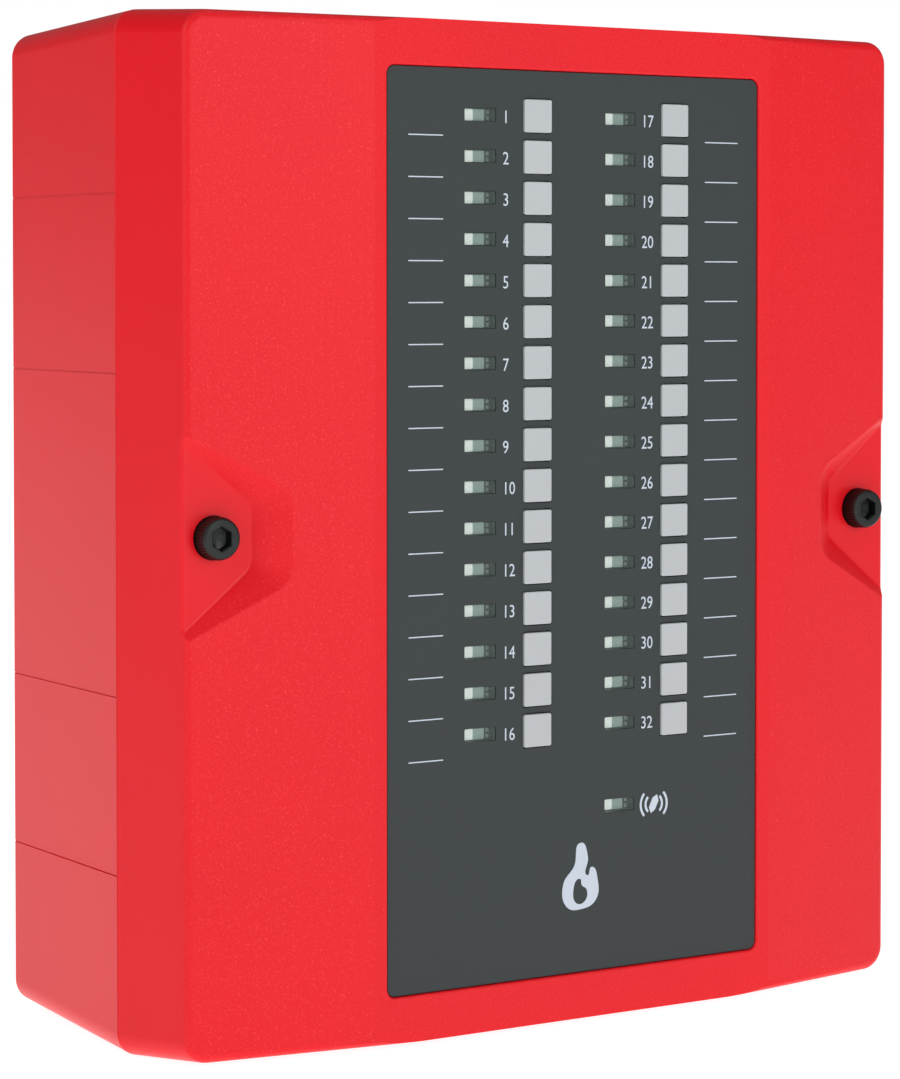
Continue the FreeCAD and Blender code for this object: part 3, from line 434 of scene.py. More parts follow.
def material(name):
    """The material of that name, made the first time that it is asked for."""
    scene = bpy.context.scene
    if not MATERIALS:
        MATERIALS.update({
            "red": case_red(scene.alarm_case),
            "film": fascia_film(scene.alarm_fascia),
            "ink": moulded("print ink", scene.alarm_fascia.ink, 0.5, 0.12, 0.004, 0.05),
            "key": moulded("key grey", scene.alarm_fascia.key, 0.42, 0.25, 0.008, 0.03),
            "lens": window_plastic("window lens", (0.30, 0.38, 0.35), 0.16),
            # The lamp face and the lamp body glow: painted light standing in for the light that the windows
            # gather
            "lamp_bright": lit_plastic("lamp face", (0.70, 0.76, 0.72), 0.62),
            "lamp_shade": lit_plastic("lamp body", (0.24, 0.33, 0.30), 0.42),
            "lamp_bed": moulded("lamp bed", (0.020, 0.045, 0.035), 0.4),
            "lamp_pad": moulded("lamp pad", (0.34, 0.42, 0.38), 0.35),
            "oxide": metal("black oxide", (0.028, 0.031, 0.030), 0.36, (1, 1, 1), 0.006, 0.75),
            "zinc": metal("bright zinc", (0.60, 0.61, 0.62), 0.30),
            "brass": metal("machined brass", (0.72, 0.50, 0.20), 0.30),
            "tin": metal("tinned metal", (0.66, 0.66, 0.64), 0.26, (1, 1, 1)),
            "aluminium": metal("extruded aluminium", (0.62, 0.63, 0.65), 0.36, (1, 1, 0.06)),
            "rubber": moulded("seal rubber", (0.022, 0.022, 0.023), 0.75, 0.5, 0.03),
            "mask": board_coating("board coating", scene.alarm_boards.mask),
            "black": moulded("moulded black", (0.022, 0.022, 0.024), 0.42),
            "chip": moulded("chip package", (0.018, 0.019, 0.021), 0.5, 0.18, 0.006),
            "green": moulded("terminal green", (0.020, 0.27, 0.085), 0.35),
            "relay": moulded("relay case", (0.055, 0.060, 0.070), 0.30, 0.3, 0.004),
            "sleeve": moulded("capacitor sleeve", (0.012, 0.016, 0.035), 0.28, 0.5, 0.003),
            "tape": moulded("winding tape", (0.72, 0.47, 0.06), 0.35, 0.9, 0.02),
            # Ferrite core colour, also laid on slots and scored grooves as painted shade
            "core": moulded("ferrite core", (0.050, 0.048, 0.047), 0.6, 0.2, 0.015),
            "mains": moulded("terminal grey", (0.17, 0.18, 0.19), 0.40),
            "battery": moulded("battery case", (0.045, 0.050, 0.057), 0.48, 0.5, 0.02),
            "lead_red": moulded("red insulation", (0.55, 0.016, 0.014), 0.38),
            "lead_black": moulded("black insulation", (0.014, 0.014, 0.015), 0.38),
            "ribbon": moulded("ribbon grey", (0.40, 0.41, 0.42), 0.42, 0.3, 0.008, 0.05),
            "white": moulded("moulded white", (0.74, 0.73, 0.69), 0.35),
            "ceramic": moulded("small ceramic part", (0.40, 0.31, 0.20), 0.45),
            "glass": clear_plastic("fuse glass", (0.95, 0.97, 0.96), 0.02),
        })
    return MATERIALS[name]


def settled(mesh, angle=32):
    """Shades a mesh smooth, but sharp at turns of angle degrees or more and between big flats."""
    shape = bmesh.new()
    shape.from_mesh(mesh)
    for face in shape.faces:
        face.smooth = True
    for edge in shape.edges:
        turn = math.degrees(edge.calc_face_angle(0))
        smaller = min((face.calc_area() for face in edge.link_faces), default=0)
        edge.smooth = turn < angle and (turn < FLAT_TURN or smaller < BIG_FLAT)
    shape.to_mesh(mesh)
    shape.free()
    return mesh


def linked(name, mesh):
    made = bpy.data.objects.new(name, mesh)
    bpy.context.scene.collection.objects.link(made)
    return made


def plain_mesh(thing):
    """What an object's modifiers give, as a mesh of its own."""
    evaluated = thing.evaluated_get(bpy.context.evaluated_depsgraph_get())
    return bpy.data.meshes.new_from_object(evaluated)


def weighted(mesh):
    """The mesh with its normals held flat on the large faces, so that narrow rounds look round."""
    thing = linked("shading", mesh)
    modifier = thing.modifiers.new("flat faces", "WEIGHTED_NORMAL")
    modifier.keep_sharp = True
    made = plain_mesh(thing)
    bpy.data.objects.remove(thing)
    return made


class Bench:
    """Collects closed shapes for one piece, in millimetres, each with its own finish."""

    def __init__(self):
        self.shape = bmesh.new()
        self.finishes = []

    def dress(self, faces, finish):
        if finish not in self.finishes:
            self.finishes.append(finish)
        for face in faces:
            face.material_index = self.finishes.index(finish)

    def box(self, low, high, finish, edge=0.15):
        """A block with softened edges between two corners."""
        low = Vector(low)
        high = Vector(high)
        size = Matrix.Diagonal((*(high - low), 1.0))
        made = bmesh.ops.create_cube(self.shape, size=1.0, matrix=Matrix.Translation((low + high) / 2) @ size)
        edges = {link for corner in made["verts"] for link in corner.link_edges}
        rounded = bmesh.ops.bevel(
            self.shape, geom=list(edges), offset=edge, segments=2, profile=0.5, affect="EDGES")
        faces = {face for corner in rounded["verts"] for face in corner.link_faces}
        self.dress(faces, finish)

    def turned(self, centre, profile, finish, sides=32, turn=None, ring=False):
        """A turned shape about the Y axis: the profile's points are radius, depth and, if flat, its sides."""
        place = Matrix.Translation(Vector(centre)) @ (turn or Matrix.Identity(4))
        loops = []
        for point in profile:
            if point[0] < 1e-6:
                loops.append([self.shape.verts.new(place @ Vector((0, point[1], 0)))] * sides)
                continue
            loop = []
            for step in range(sides):
                angle = 2 * math.pi * step / sides
                reach = point[0]
                if len(point) > 2:
                    part = 2 * math.pi / point[2]
                    reach /= math.cos((angle - part / 2) % part - part / 2)
                along = Vector((reach * math.cos(angle), point[1], reach * math.sin(angle)))
                loop.append(self.shape.verts.new(place @ along))
            loops.append(loop)
        pairs = list(zip(loops, loops[1:]))
        if ring:
            pairs.append((loops[-1], loops[0]))
        faces = []
        for first, second in pairs:
            for step in range(sides):
                following = (step + 1) % sides
                corners = [first[step], first[following], second[following], second[step]]
                corners = list(dict.fromkeys(corners))
                faces.append(self.shape.faces.new(corners))
        bmesh.ops.recalc_face_normals(self.shape, faces=faces)
        self.dress(faces, finish)

    def prism(self, outline, y0, y1, finish):
        """A flat shape seen from the front, from its outline."""
        near = [self.shape.verts.new((x, y0, z)) for x, z in outline]
        far = [self.shape.verts.new((x, y1, z)) for x, z in outline]
        faces = [self.shape.faces.new(near), self.shape.faces.new(far[::-1])]
        for step in range(len(outline)):
            following = (step + 1) % len(outline)
            faces.append(self.shape.faces.new([near[step], far[step], far[following], near[following]]))
        bmesh.ops.recalc_face_normals(self.shape, faces=faces)
        self.dress(faces, finish)

    def tube(self, path, radius, finish, sides=16):
        """A round tube along a path of points, with closed ends."""
        points = [Vector(point) for point in path]
        loops = []
        side = Vector((1, 0, 0))
        for index, point in enumerate(points):
            along = points[min(index + 1, len(points) - 1)] - points[max(index - 1, 0)]
            along.normalize()
            if abs(along.dot(side)) > 0.9:
                side = Vector((0, 0, 1))
            first = (side - along * side.dot(along)).normalized()
            second = along.cross(first)
            loop = []
            for step in range(sides):
                angle = 2 * math.pi * step / sides
                loop.append(self.shape.verts.new(
                    point + (first * math.cos(angle) + second * math.sin(angle)) * radius))
            loops.append(loop)
        faces = [self.shape.faces.new(loops[0]), self.shape.faces.new(loops[-1])]
        for before, after in zip(loops, loops[1:]):
            for step in range(sides):
                following = (step + 1) % sides
                faces.append(self.shape.faces.new(
                    [before[step], before[following], after[following], after[step]]))
        bmesh.ops.recalc_face_normals(self.shape, faces=faces)
        self.dress(faces, finish)

    def take(self, mesh, finish=None, scale=1.0, chooser=None):
        """Adds another mesh. chooser(low, high, roundness) names the finish of each of its solids."""
        known = set(self.shape.faces)
        known_corners = set(self.shape.verts)
        self.shape.from_mesh(mesh)
        added = [face for face in self.shape.faces if face not in known]
        corners = [corner for corner in self.shape.verts if corner not in known_corners]
        bmesh.ops.scale(self.shape, vec=(scale,) * 3, verts=corners)
        if chooser is None:
            self.dress(added, finish)
        else:
            for faces in islands(added):
                self.dress(faces, chooser(*measured(faces)))
        bpy.data.meshes.remove(mesh)

    def mesh(self, name):
        """The collected shapes as one mesh in metres."""
        made = bpy.data.meshes.new(name)
        bmesh.ops.scale(self.shape, vec=(MM,) * 3, verts=self.shape.verts)
        self.shape.to_mesh(made)
        self.shape.free()
        return made

    def piece(self, name, body, nodes=(), angle=32):
        """The finished piece, riding on its body in place of the nodes it stands for."""
        made = weighted(settled(self.mesh(name), angle))
        for finish in self.finishes:
            made.materials.append(material(finish))
        thing = linked(name, made)
        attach(thing, body)
        if nodes:
            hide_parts(*nodes)
        return thing


def islands(faces):
    """The faces of each separate solid, in the order in which the list meets them."""
    left = set(faces)
    groups = []
    for start in faces:
        if start not in left:
            continue
        left.remove(start)
        group = []
        edge = [start]
        while edge:
            face = edge.pop()
            group.append(face)
            for corner in face.verts:
                for other in corner.link_faces:
                    if other in left:
                        left.remove(other)
                        edge.append(other)
        groups.append(group)
    return groups


def measured(faces):
    """A solid's lowest and highest corners and the share of its box that it fills."""
    corners = {corner for face in faces for corner in face.verts}
    low = Vector([min(corner.co[axis] for corner in corners) for axis in range(3)])
    high = Vector([max(corner.co[axis] for corner in corners) for axis in range(3)])
    volume = 0.0
    for face in faces:
        first = face.verts[0].co
        for index in range(1, len(face.verts) - 1):
            volume += first.dot(face.verts[index].co.cross(face.verts[index + 1].co)) / 6
    size = high - low
    return low, high, abs(volume) / max(size.x * size.y * size.z, 1e-9)


def welded(node):
    """A copy of a frame node's mesh with its triangles joined, in metres."""
    shape = bmesh.new()
    shape.from_mesh(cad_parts[node].data)
    bmesh.ops.remove_doubles(shape, verts=shape.verts, dist=1e-6)
    bmesh.ops.dissolve_degenerate(shape, edges=shape.edges, dist=1e-7)
    bmesh.ops.dissolve_limit(shape, angle_limit=math.radians(0.3), verts=shape.verts, edges=shape.edges)
    made = bpy.data.meshes.new(node + "_welded")
    shape.to_mesh(made)
    shape.free()
    return made


def solids(node):
    """The lowest and highest corners and the fill of each solid of a node, in millimetres."""
    shape = bmesh.new()
    mesh = welded(node)
    shape.from_mesh(mesh)
    bmesh.ops.scale(shape, vec=(1 / MM,) * 3, verts=shape.verts)
    found = [measured(faces) for faces in islands(list(shape.faces))]
    shape.free()
    bpy.data.meshes.remove(mesh)
    return sorted(found, key=lambda solid: (round(solid[0].z, 3), round(solid[0].x, 3)))


def finished_copy(node, name, body, finish=None, chooser=None, angle=32):
    """A smoothly shaded copy of a frame node that stands for it."""
    bench = Bench()
    bench.take(welded(node), finish, 1 / MM, chooser)
    return bench.piece(name, body, [node], angle)


def new_tree(name, inputs):
    """An empty geometry tree with named inputs, and a wire from each of them."""
    tree = bpy.data.node_groups.new(name, "GeometryNodeTree")
    for label, kind in inputs.items():
        tree.interface.new_socket(label, in_out="INPUT", socket_type="NodeSocket" + kind)
    tree.interface.new_socket("Geometry", in_out="OUTPUT", socket_type="NodeSocketGeometry")
    graph = Graph(tree)
    group = tree.nodes.new("NodeGroupInput")
    wires = {label: Wire(graph, group.outputs[label]) for label in inputs}
    return graph, wires


def close_tree(graph, shape, finish):
    """Ends a tree in real geometry with its material."""
    real = graph.node("GeometryNodeRealizeInstances", None, {"Geometry": shape})
    dressed = graph.node("GeometryNodeSetMaterial", None, {"Geometry": real, "Material": finish})
    graph.node("NodeGroupOutput", None, {"Geometry": dressed})
    return graph.tree


def rows_tree():
    """Copies of a part in rows and columns seen from the front, with some places left empty."""
    graph, given = new_tree("Rows and columns", {
        "Part": "Object", "Columns": "Int", "Rows": "Int", "Column pitch": "Float", "Row pitch": "Float",
        "First place": "Vector", "Share": "Float", "Seed": "Int", "Finish": "Material"})
    across = graph.node("ShaderNodeCombineXYZ", None, {"X": given["Column pitch"]})
    down = graph.node("ShaderNodeCombineXYZ", None, {"Z": 0 - given["Row pitch"]})
    line = graph.node("GeometryNodeMeshLine", None, {"Count": given["Columns"], "Offset": across})
    starts = {"Count": given["Rows"], "Start Location": given["First place"], "Offset": down}
    rows = graph.node("GeometryNodeMeshLine", None, starts)
    grid = graph.node("GeometryNodeInstanceOnPoints", None, {"Points": rows, "Instance": line})
    places = graph.node("GeometryNodeRealizeInstances", None, {"Geometry": grid})
    chance = graph.node("FunctionNodeRandomValue", {"data_type": "FLOAT"}, {"Seed": given["Seed"]}, 1)
    held = graph.node("FunctionNodeCompare", {"operation": "LESS_THAN"}, {"A": chance, "B": given["Share"]})
    part = graph.node("GeometryNodeObjectInfo", None, {"Object": given["Part"]}, "Geometry")
    sockets = {"Points": places, "Selection": held, "Instance": part}
    copies = graph.node("GeometryNodeInstanceOnPoints", None, sockets)
    return close_tree(graph, copies, given["Finish"])


def ring_tree():
    """Copies of a part turned about an axis along Y through a centre."""
    graph, given = new_tree("Ring", {
        "Part": "Object", "Count": "Int", "Centre": "Vector", "Finish": "Material"})
    stay = (0, 0, 0)
    line = {"Count": given["Count"], "Start Location": given["Centre"], "Offset": stay}
    places = graph.node("GeometryNodeMeshLine", None, line)
    index = graph.node("GeometryNodeInputIndex")
    angle = graph.node("ShaderNodeCombineXYZ", None, {"Y": index * (2 * math.pi) / given["Count"]})
    part = graph.node("GeometryNodeObjectInfo", None, {"Object": given["Part"]}, "Geometry")
    sockets = {"Points": places, "Instance": part, "Rotation": angle}
    copies = graph.node("GeometryNodeInstanceOnPoints", None, sockets)
    return close_tree(graph, copies, given["Finish"])


def wires_tree():
    """Round wires side by side along a path."""
    graph, given = new_tree("Flat cable", {
        "Path": "Object", "Wires": "Int", "Pitch": "Float", "Radius": "Float", "First place": "Vector",
        "Finish": "Material"})
    across = graph.node("ShaderNodeCombineXYZ", None, {"X": given["Pitch"]})
    starts = {"Count": given["Wires"], "Start Location": given["First place"], "Offset": across}
    places = graph.node("GeometryNodeMeshLine", None, starts)
    path = graph.node("GeometryNodeObjectInfo", None, {"Object": given["Path"]}, "Geometry")
    copies = graph.node("GeometryNodeInstanceOnPoints", None, {"Points": places, "Instance": path})
    lines = graph.node("GeometryNodeRealizeInstances", None, {"Geometry": copies})
    section = graph.node(
        "GeometryNodeCurvePrimitiveCircle", None, {"Resolution": 10, "Radius": given["Radius"]})
    sockets = {"Curve": lines, "Profile Curve": section, "Fill Caps": True}
    cable = graph.node("GeometryNodeCurveToMesh", None, sockets)
    return close_tree(graph, cable, given["Finish"])


TREES = {}


def grown(maker, part, finish, **values):
    """The mesh that a geometry tree grows from a part, in metres. The part is used up."""
    if maker not in TREES:
        TREES[maker] = maker()
    tree = TREES[maker]
    values = {"Seed": 0, "Share": 2.0, "Part": part, "Path": part, "Finish": material(finish), **values}
    holder = linked("holder", bpy.data.meshes.new("holder"))
    modifier = holder.modifiers.new("grow", "NODES")
    modifier.node_group = tree
    for item in tree.interface.items_tree:
        label = item.name.replace(" ", "_")
        if item.in_out == "INPUT":
            modifier[item.identifier] = values[item.name] if item.name in values else values[label]
    made = plain_mesh(holder)
    bpy.data.objects.remove(holder)
    bpy.data.objects.remove(part)
    return made


def rows_of(bench, finish, first, columns, rows, column_pitch, row_pitch, target, **values):
    """Adds rows and columns of the bench's part to another bench, all in millimetres."""
    part = linked("part", settled(bench.mesh("part")))
    mesh = grown(
        rows_tree, part, finish, First_place=Vector(first) * MM, Columns=columns, Rows=rows,
        Column_pitch=column_pitch * MM, Row_pitch=row_pitch * MM, **values)
    target.take(mesh, finish, 1 / MM)


def ring_of(bench, finish, centre, count, target):
    """Adds a ring of the bench's part to another bench, all in millimetres."""
    part = linked("part", settled(bench.mesh("part")))
    mesh = grown(ring_tree, part, finish, Centre=Vector(centre) * MM, Count=count)
    target.take(mesh, finish, 1 / MM)


def capacitor(bench, low, high):
    """A sleeve rolled over a crimped metal can, with dark scores across the top painted as shade."""
    centre = (low + high) / 2
    radius = (high.x - low.x) / 2
    back = high.y
    front = low.y
    sleeve = [
        (0, back), (radius, back), (radius, back - 1.2), (radius - 0.35, back - 1.7), (radius, back - 2.2),
        (radius, front + 0.5), (radius - 0.25, front + 0.1), (radius - 0.8, front + 0.05),
        (radius - 0.9, front + 0.35), (0, front + 0.35)]
    bench.turned((centre.x, 0, centre.z), sleeve, "sleeve", 36)
    top = [(0, front + 0.4), (radius - 0.9, front + 0.4), (radius - 0.95, front + 0.2), (0, front + 0.12)]
    bench.turned((centre.x, 0, centre.z), top, "aluminium", 36)
    # Dark blocks across the top: painted shade standing in for the scored grooves
    reach = (radius - 1.4) * 0.9
    half = 0.12
    for across, up in ((reach, half), (half, reach)):
        near = (centre.x - across, front + 0.05, centre.z - up)
        far = (centre.x + across, front + 0.3, centre.z + up)
        bench.box(near, far, "core", 0.04)


def slotted_screw(bench, place, radius, face, reach, half, deep, edge):
    """A screw head whose flat face lies inside its rim, with a slot across it painted dark as shade."""
    x, top, z = place
    profile = [(0, top + 0.7), (radius, top + 0.7), (radius, top + 0.2), (face, top), (0, top)]
    bench.turned((x, 0, z), profile, "tin", 24)
    # A dark block over the face: painted shade standing in for the depth of the slot
    bench.box((x - reach, top - 0.02, z - half), (x + reach, top + deep, z + half), "core", edge)


def block_part(finish, edge, blocks):
    """A bench that holds blocks of one finish, each given by its two corners."""
    part = Bench()
    for low, high in blocks:
        part.box(low, high, finish, edge)
    return part


def arc_points(centre, radius, start, end, steps=12):
    """Points of an arc seen from the front, from one angle to another in degrees."""
    points = []
    for step in range(steps + 1):
        angle = math.radians(start + (end - start) * step / steps)
        points.append((centre[0] + radius * math.cos(angle), centre[1] + radius * math.sin(angle)))
    return points


def aimed(thing, target):
    """Turns a light to face a point."""
    thing.rotation_euler = (Vector(target) - thing.location).to_track_quat("-Z", "Y").to_euler()


class MakeStage(bpy.types.Operator):
    """Lay the pale floor and set the soft lights and the camera"""

    bl_idname = "alarm_panel.make_stage"
    bl_label = "Stage"

    floor_half = 30.0
    target = (0, -0.04, 0)
    # Each softbox's name, place, width, height and power
    softboxes = (
        ("front softbox", (0.35, -1.9, 0.55), 1.0, 1.0, 10),
        ("left softbox", (-1.7, -0.7, 0.9), 1.2, 1.6, 9),
        ("top softbox", (0.0, -0.3, 2.2), 2.4, 2.4, 8),
    )

    def soft_light(self, name, place, width, height, power):
        light = bpy.data.lights.new(name, "AREA")
        light.shape = "RECTANGLE"
        light.size = width
        light.size_y = height
        light.energy = power
        made = linked(name, light)
        made.location = place
        aimed(made, self.target)

    def execute(self, context):
        looks = context.scene.alarm_stage
        floor_z = CAD_BOX[0].z
        square = ((-1, -1), (1, -1), (1, 1), (-1, 1))
        corners = [(x * self.floor_half, y * self.floor_half, floor_z) for x, y in square]
        sheet = bpy.data.meshes.new("floor")
        sheet.from_pydata(corners, [], [(0, 1, 2, 3)])
        floor = linked("floor", sheet)
        finish = Finish("pale floor")
        clouds = finish.noise(400)
        dark, light = shades(looks.floor, 0.01)
        shade = finish.mix(clouds, dark, light)
        finish.set(Emission_Strength=0.9)
        sheet.materials.append(finish.set(Base_Color=shade, Emission_Color=(1.0, 1.0, 1.0), Roughness=0.9))
        for softbox in self.softboxes:
            self.soft_light(*softbox)
        world = bpy.data.worlds.new("studio")
        world.use_nodes = True
        graph = Graph(world.node_tree)
        seen = graph.node("ShaderNodeLightPath", output="Is Camera Ray")
        background = world.node_tree.nodes["Background"]
        background.inputs["Color"].default_value = (1.0, 1.0, 1.0, 1.0)
        graph.join(background.inputs["Strength"], looks.ambient + seen * (1.0 - looks.ambient))
        context.scene.world = world
        context.scene.view_settings.view_transform = "Standard"
        data = bpy.data.cameras.new("camera")
        data.lens = looks.lens
        data.shift_y = looks.shift
        camera = linked("camera", data)
        camera.location = looks.place
        pitch = math.atan((looks.horizon + looks.shift) * data.sensor_width / looks.lens)
        camera.rotation_euler = (math.pi / 2 - pitch, 0, -looks.heading)
        context.scene.camera = camera
        return {"FINISHED"}


class MakeCase(bpy.types.Operator):
    """Make the red back box, the front cover and the seal between them"""

    bl_idname = "alarm_panel.make_case"
    bl_label = "Case"

    def execute(self, context):
        finished_copy("back_box", "red_back_box", "box", "red")
        finished_copy("front_cover", "red_front_cover", "cover", "red")
        finished_copy("cover_seal", "foam_seal", "box", "rubber")
        return {"FINISHED"}


class MakeFascia(bpy.types.Operator):
    """Make the dark fascia and everything printed on it"""

    bl_idname = "alarm_panel.make_fascia"
    bl_label = "Fascia"

    line_left = (-49.5, -39.6)
    line_right = (38.9, 49.3)
    line_drop = 5.26
    line_weight = 0.28
    number_offset = 6.45
    number_drop = 1.9
    number_narrow = 0.86
    sound_place = (23.3, -71.1)
    flame_place = (0.6, -95.4)
    flame_height = 16.5
    capital_share = 0.73
    wave_weight = 0.62

    def letters(self, text, looks):
        """A printed number as a mesh in metres, standing at the origin and facing the front."""
        curve = bpy.data.curves.new("number", "FONT")
        curve.body = text
        curve.size = looks.number_height / self.capital_share
        curve.extrude = looks.print_height / 2
        curve.resolution_u = 3
        return self.stood_up(curve, Matrix.Diagonal((self.number_narrow, 1, 1, 1)))

    def stood_up(self, curve, scale):
        thing = linked("print", curve)
        mesh = plain_mesh(thing)
        bpy.data.objects.remove(thing)
        mesh.transform(UPRIGHT @ scale)
        return mesh

    def flame(self, looks):
        """A plain flame with a smaller one left open in it."""
        curve = bpy.data.curves.new("flame", "CURVE")
        curve.dimensions = "2D"
        curve.fill_mode = "BOTH"
        curve.extrude = looks.print_height / 2
        curve.resolution_u = 10
        outer = [(0.02, 1.0), (-0.10, 0.66), (-0.30, 0.40), (-0.24, 0.06), (0.03, 0.0), (0.30, 0.12),
                 (0.33, 0.42), (0.22, 0.62), (0.14, 0.50), (0.15, 0.78)]
        inner = [(0.0, 0.46), (-0.12, 0.26), (-0.05, 0.09), (0.10, 0.12), (0.13, 0.28), (0.04, 0.36)]
        for points in (outer, inner):
            spline = curve.splines.new("BEZIER")
            spline.bezier_points.add(len(points) - 1)
            spline.use_cyclic_u = True
            for knot, place in zip(spline.bezier_points, points):
                knot.co = (place[0], place[1], 0)
                knot.handle_left_type = "AUTO"
                knot.handle_right_type = "AUTO"
        size = self.flame_height * MM
        return self.stood_up(curve, Matrix.Diagonal((size, size, 1, 1)))

    def execute(self, context):
        looks = context.scene.alarm_fascia
        finished_copy("fascia_panel", "dark_fascia", "cover", "film")
        bench = Bench()
        ink_y = FASCIA_Y - looks.print_height / MM / 2
        for number in range(1, len(KEYS) + 1):
            column, row = divmod(number - 1, ROWS)
            mesh = self.letters(str(number), looks)
            x = WINDOW_X[column] + self.number_offset
            z = TOP_ROW_Z - row * ROW_PITCH - self.number_drop
            mesh.transform(Matrix.Translation(Vector((x, ink_y, z)) * MM))
            bench.take(mesh, "ink", 1 / MM)
        for start, end in (self.line_left, self.line_right):
            line = Bench()
            half = self.line_weight / 2
            outline = arc_points((end - start - half, 0), half, -90, 90, 6)
            outline += arc_points((half, 0), half, 90, 270, 6)
            line.prism(outline, -looks.print_height / MM, 0, "ink")
            first = (start, FASCIA_Y, TOP_ROW_Z - self.line_drop)
            rows_of(line, "ink", first, 1, ROWS, 0, ROW_PITCH, bench)
        self.sound_symbol(bench, looks)
        mesh = self.flame(looks)
        mesh.transform(Matrix.Translation(Vector((self.flame_place[0], ink_y, self.flame_place[1])) * MM))
        bench.take(mesh, "ink", 1 / MM)
        bench.piece("fascia_print", "cover")
        return {"FINISHED"}

    def sound_symbol(self, bench, looks):
        """A slanted sounder between two pairs of sound waves."""
        near = FASCIA_Y - looks.print_height / MM
        x, z = self.sound_place
        half = self.wave_weight / 2
        for turn in (0, 180):
            for radius, spread in ((2.55, 46), (4.05, 43)):
                outer = arc_points((x, z), radius + half, turn - spread, turn + spread)
                inner = arc_points((x, z), radius - half, turn + spread, turn - spread)
                bench.prism(outer + inner, near, FASCIA_Y, "ink")
        lean = [(-0.9, -2.3), (0.35, -1.5), (1.5, 0.7), (1.0, 2.3), (-0.35, 1.6), (-1.5, -0.8)]
        bench.prism([(x + point[0], z + point[1]) for point in lean], near, FASCIA_Y, "ink")


class MakeKeys(bpy.types.Operator):
    """Make the 32 grey keys"""

    bl_idname = "alarm_panel.make_keys"
    bl_label = "Keys"

    def execute(self, context):
        for key in KEYS:
            finished_copy(key, "push_" + key, key, "key")
        return {"FINISHED"}


class MakeWindows(bpy.types.Operator):
    """Make the clear windows and the lamps behind them"""

    bl_idname = "alarm_panel.make_windows"
    bl_label = "Windows"

    half_height = 1.4

    def in_windows(self, bench, finish, target):
        """Puts a part behind every window."""
        front = LAMP_LOW.y
        for x in WINDOW_X:
            copy = Bench()
            copy.shape = bench.shape.copy()
            rows_of(copy, finish, (x, front, TOP_ROW_Z), 1, ROWS, 0, ROW_PITCH, target)
        rows_of(bench, finish, (WINDOW_X[1], front, SOUND_Z), 1, 1, 0, ROW_PITCH, target)

    def execute(self, context):
        finished_copy("window_lenses", "clear_lenses", "cover", "lens")
        target = Bench()
        deep = LAMP_HIGH.y - LAMP_LOW.y
        half = self.half_height
        pads = [((3.45, 0.25, z - 0.45), (4.2, 0.6, z + 0.45)) for z in (-0.75, 0.75)]
        for finish, edge, blocks in (
                ("lamp_bed", 0.1, [((-4.3, 0.5, -1.5), (4.3, 1.1, 1.5))]),
                ("lamp_shade", 0.2, [((-0.55, 0.0, -half), (2.7, deep, half))]),
                ("lamp_bright", 0.25, [((-4.2, -0.1, -half), (-0.6, deep, half))]),
                ("lamp_pad", 0.08, pads)):
            self.in_windows(block_part(finish, edge, blocks), finish, target)
        target.piece("lamp_units", "cover", ["indicator_lamps"])
        return {"FINISHED"}


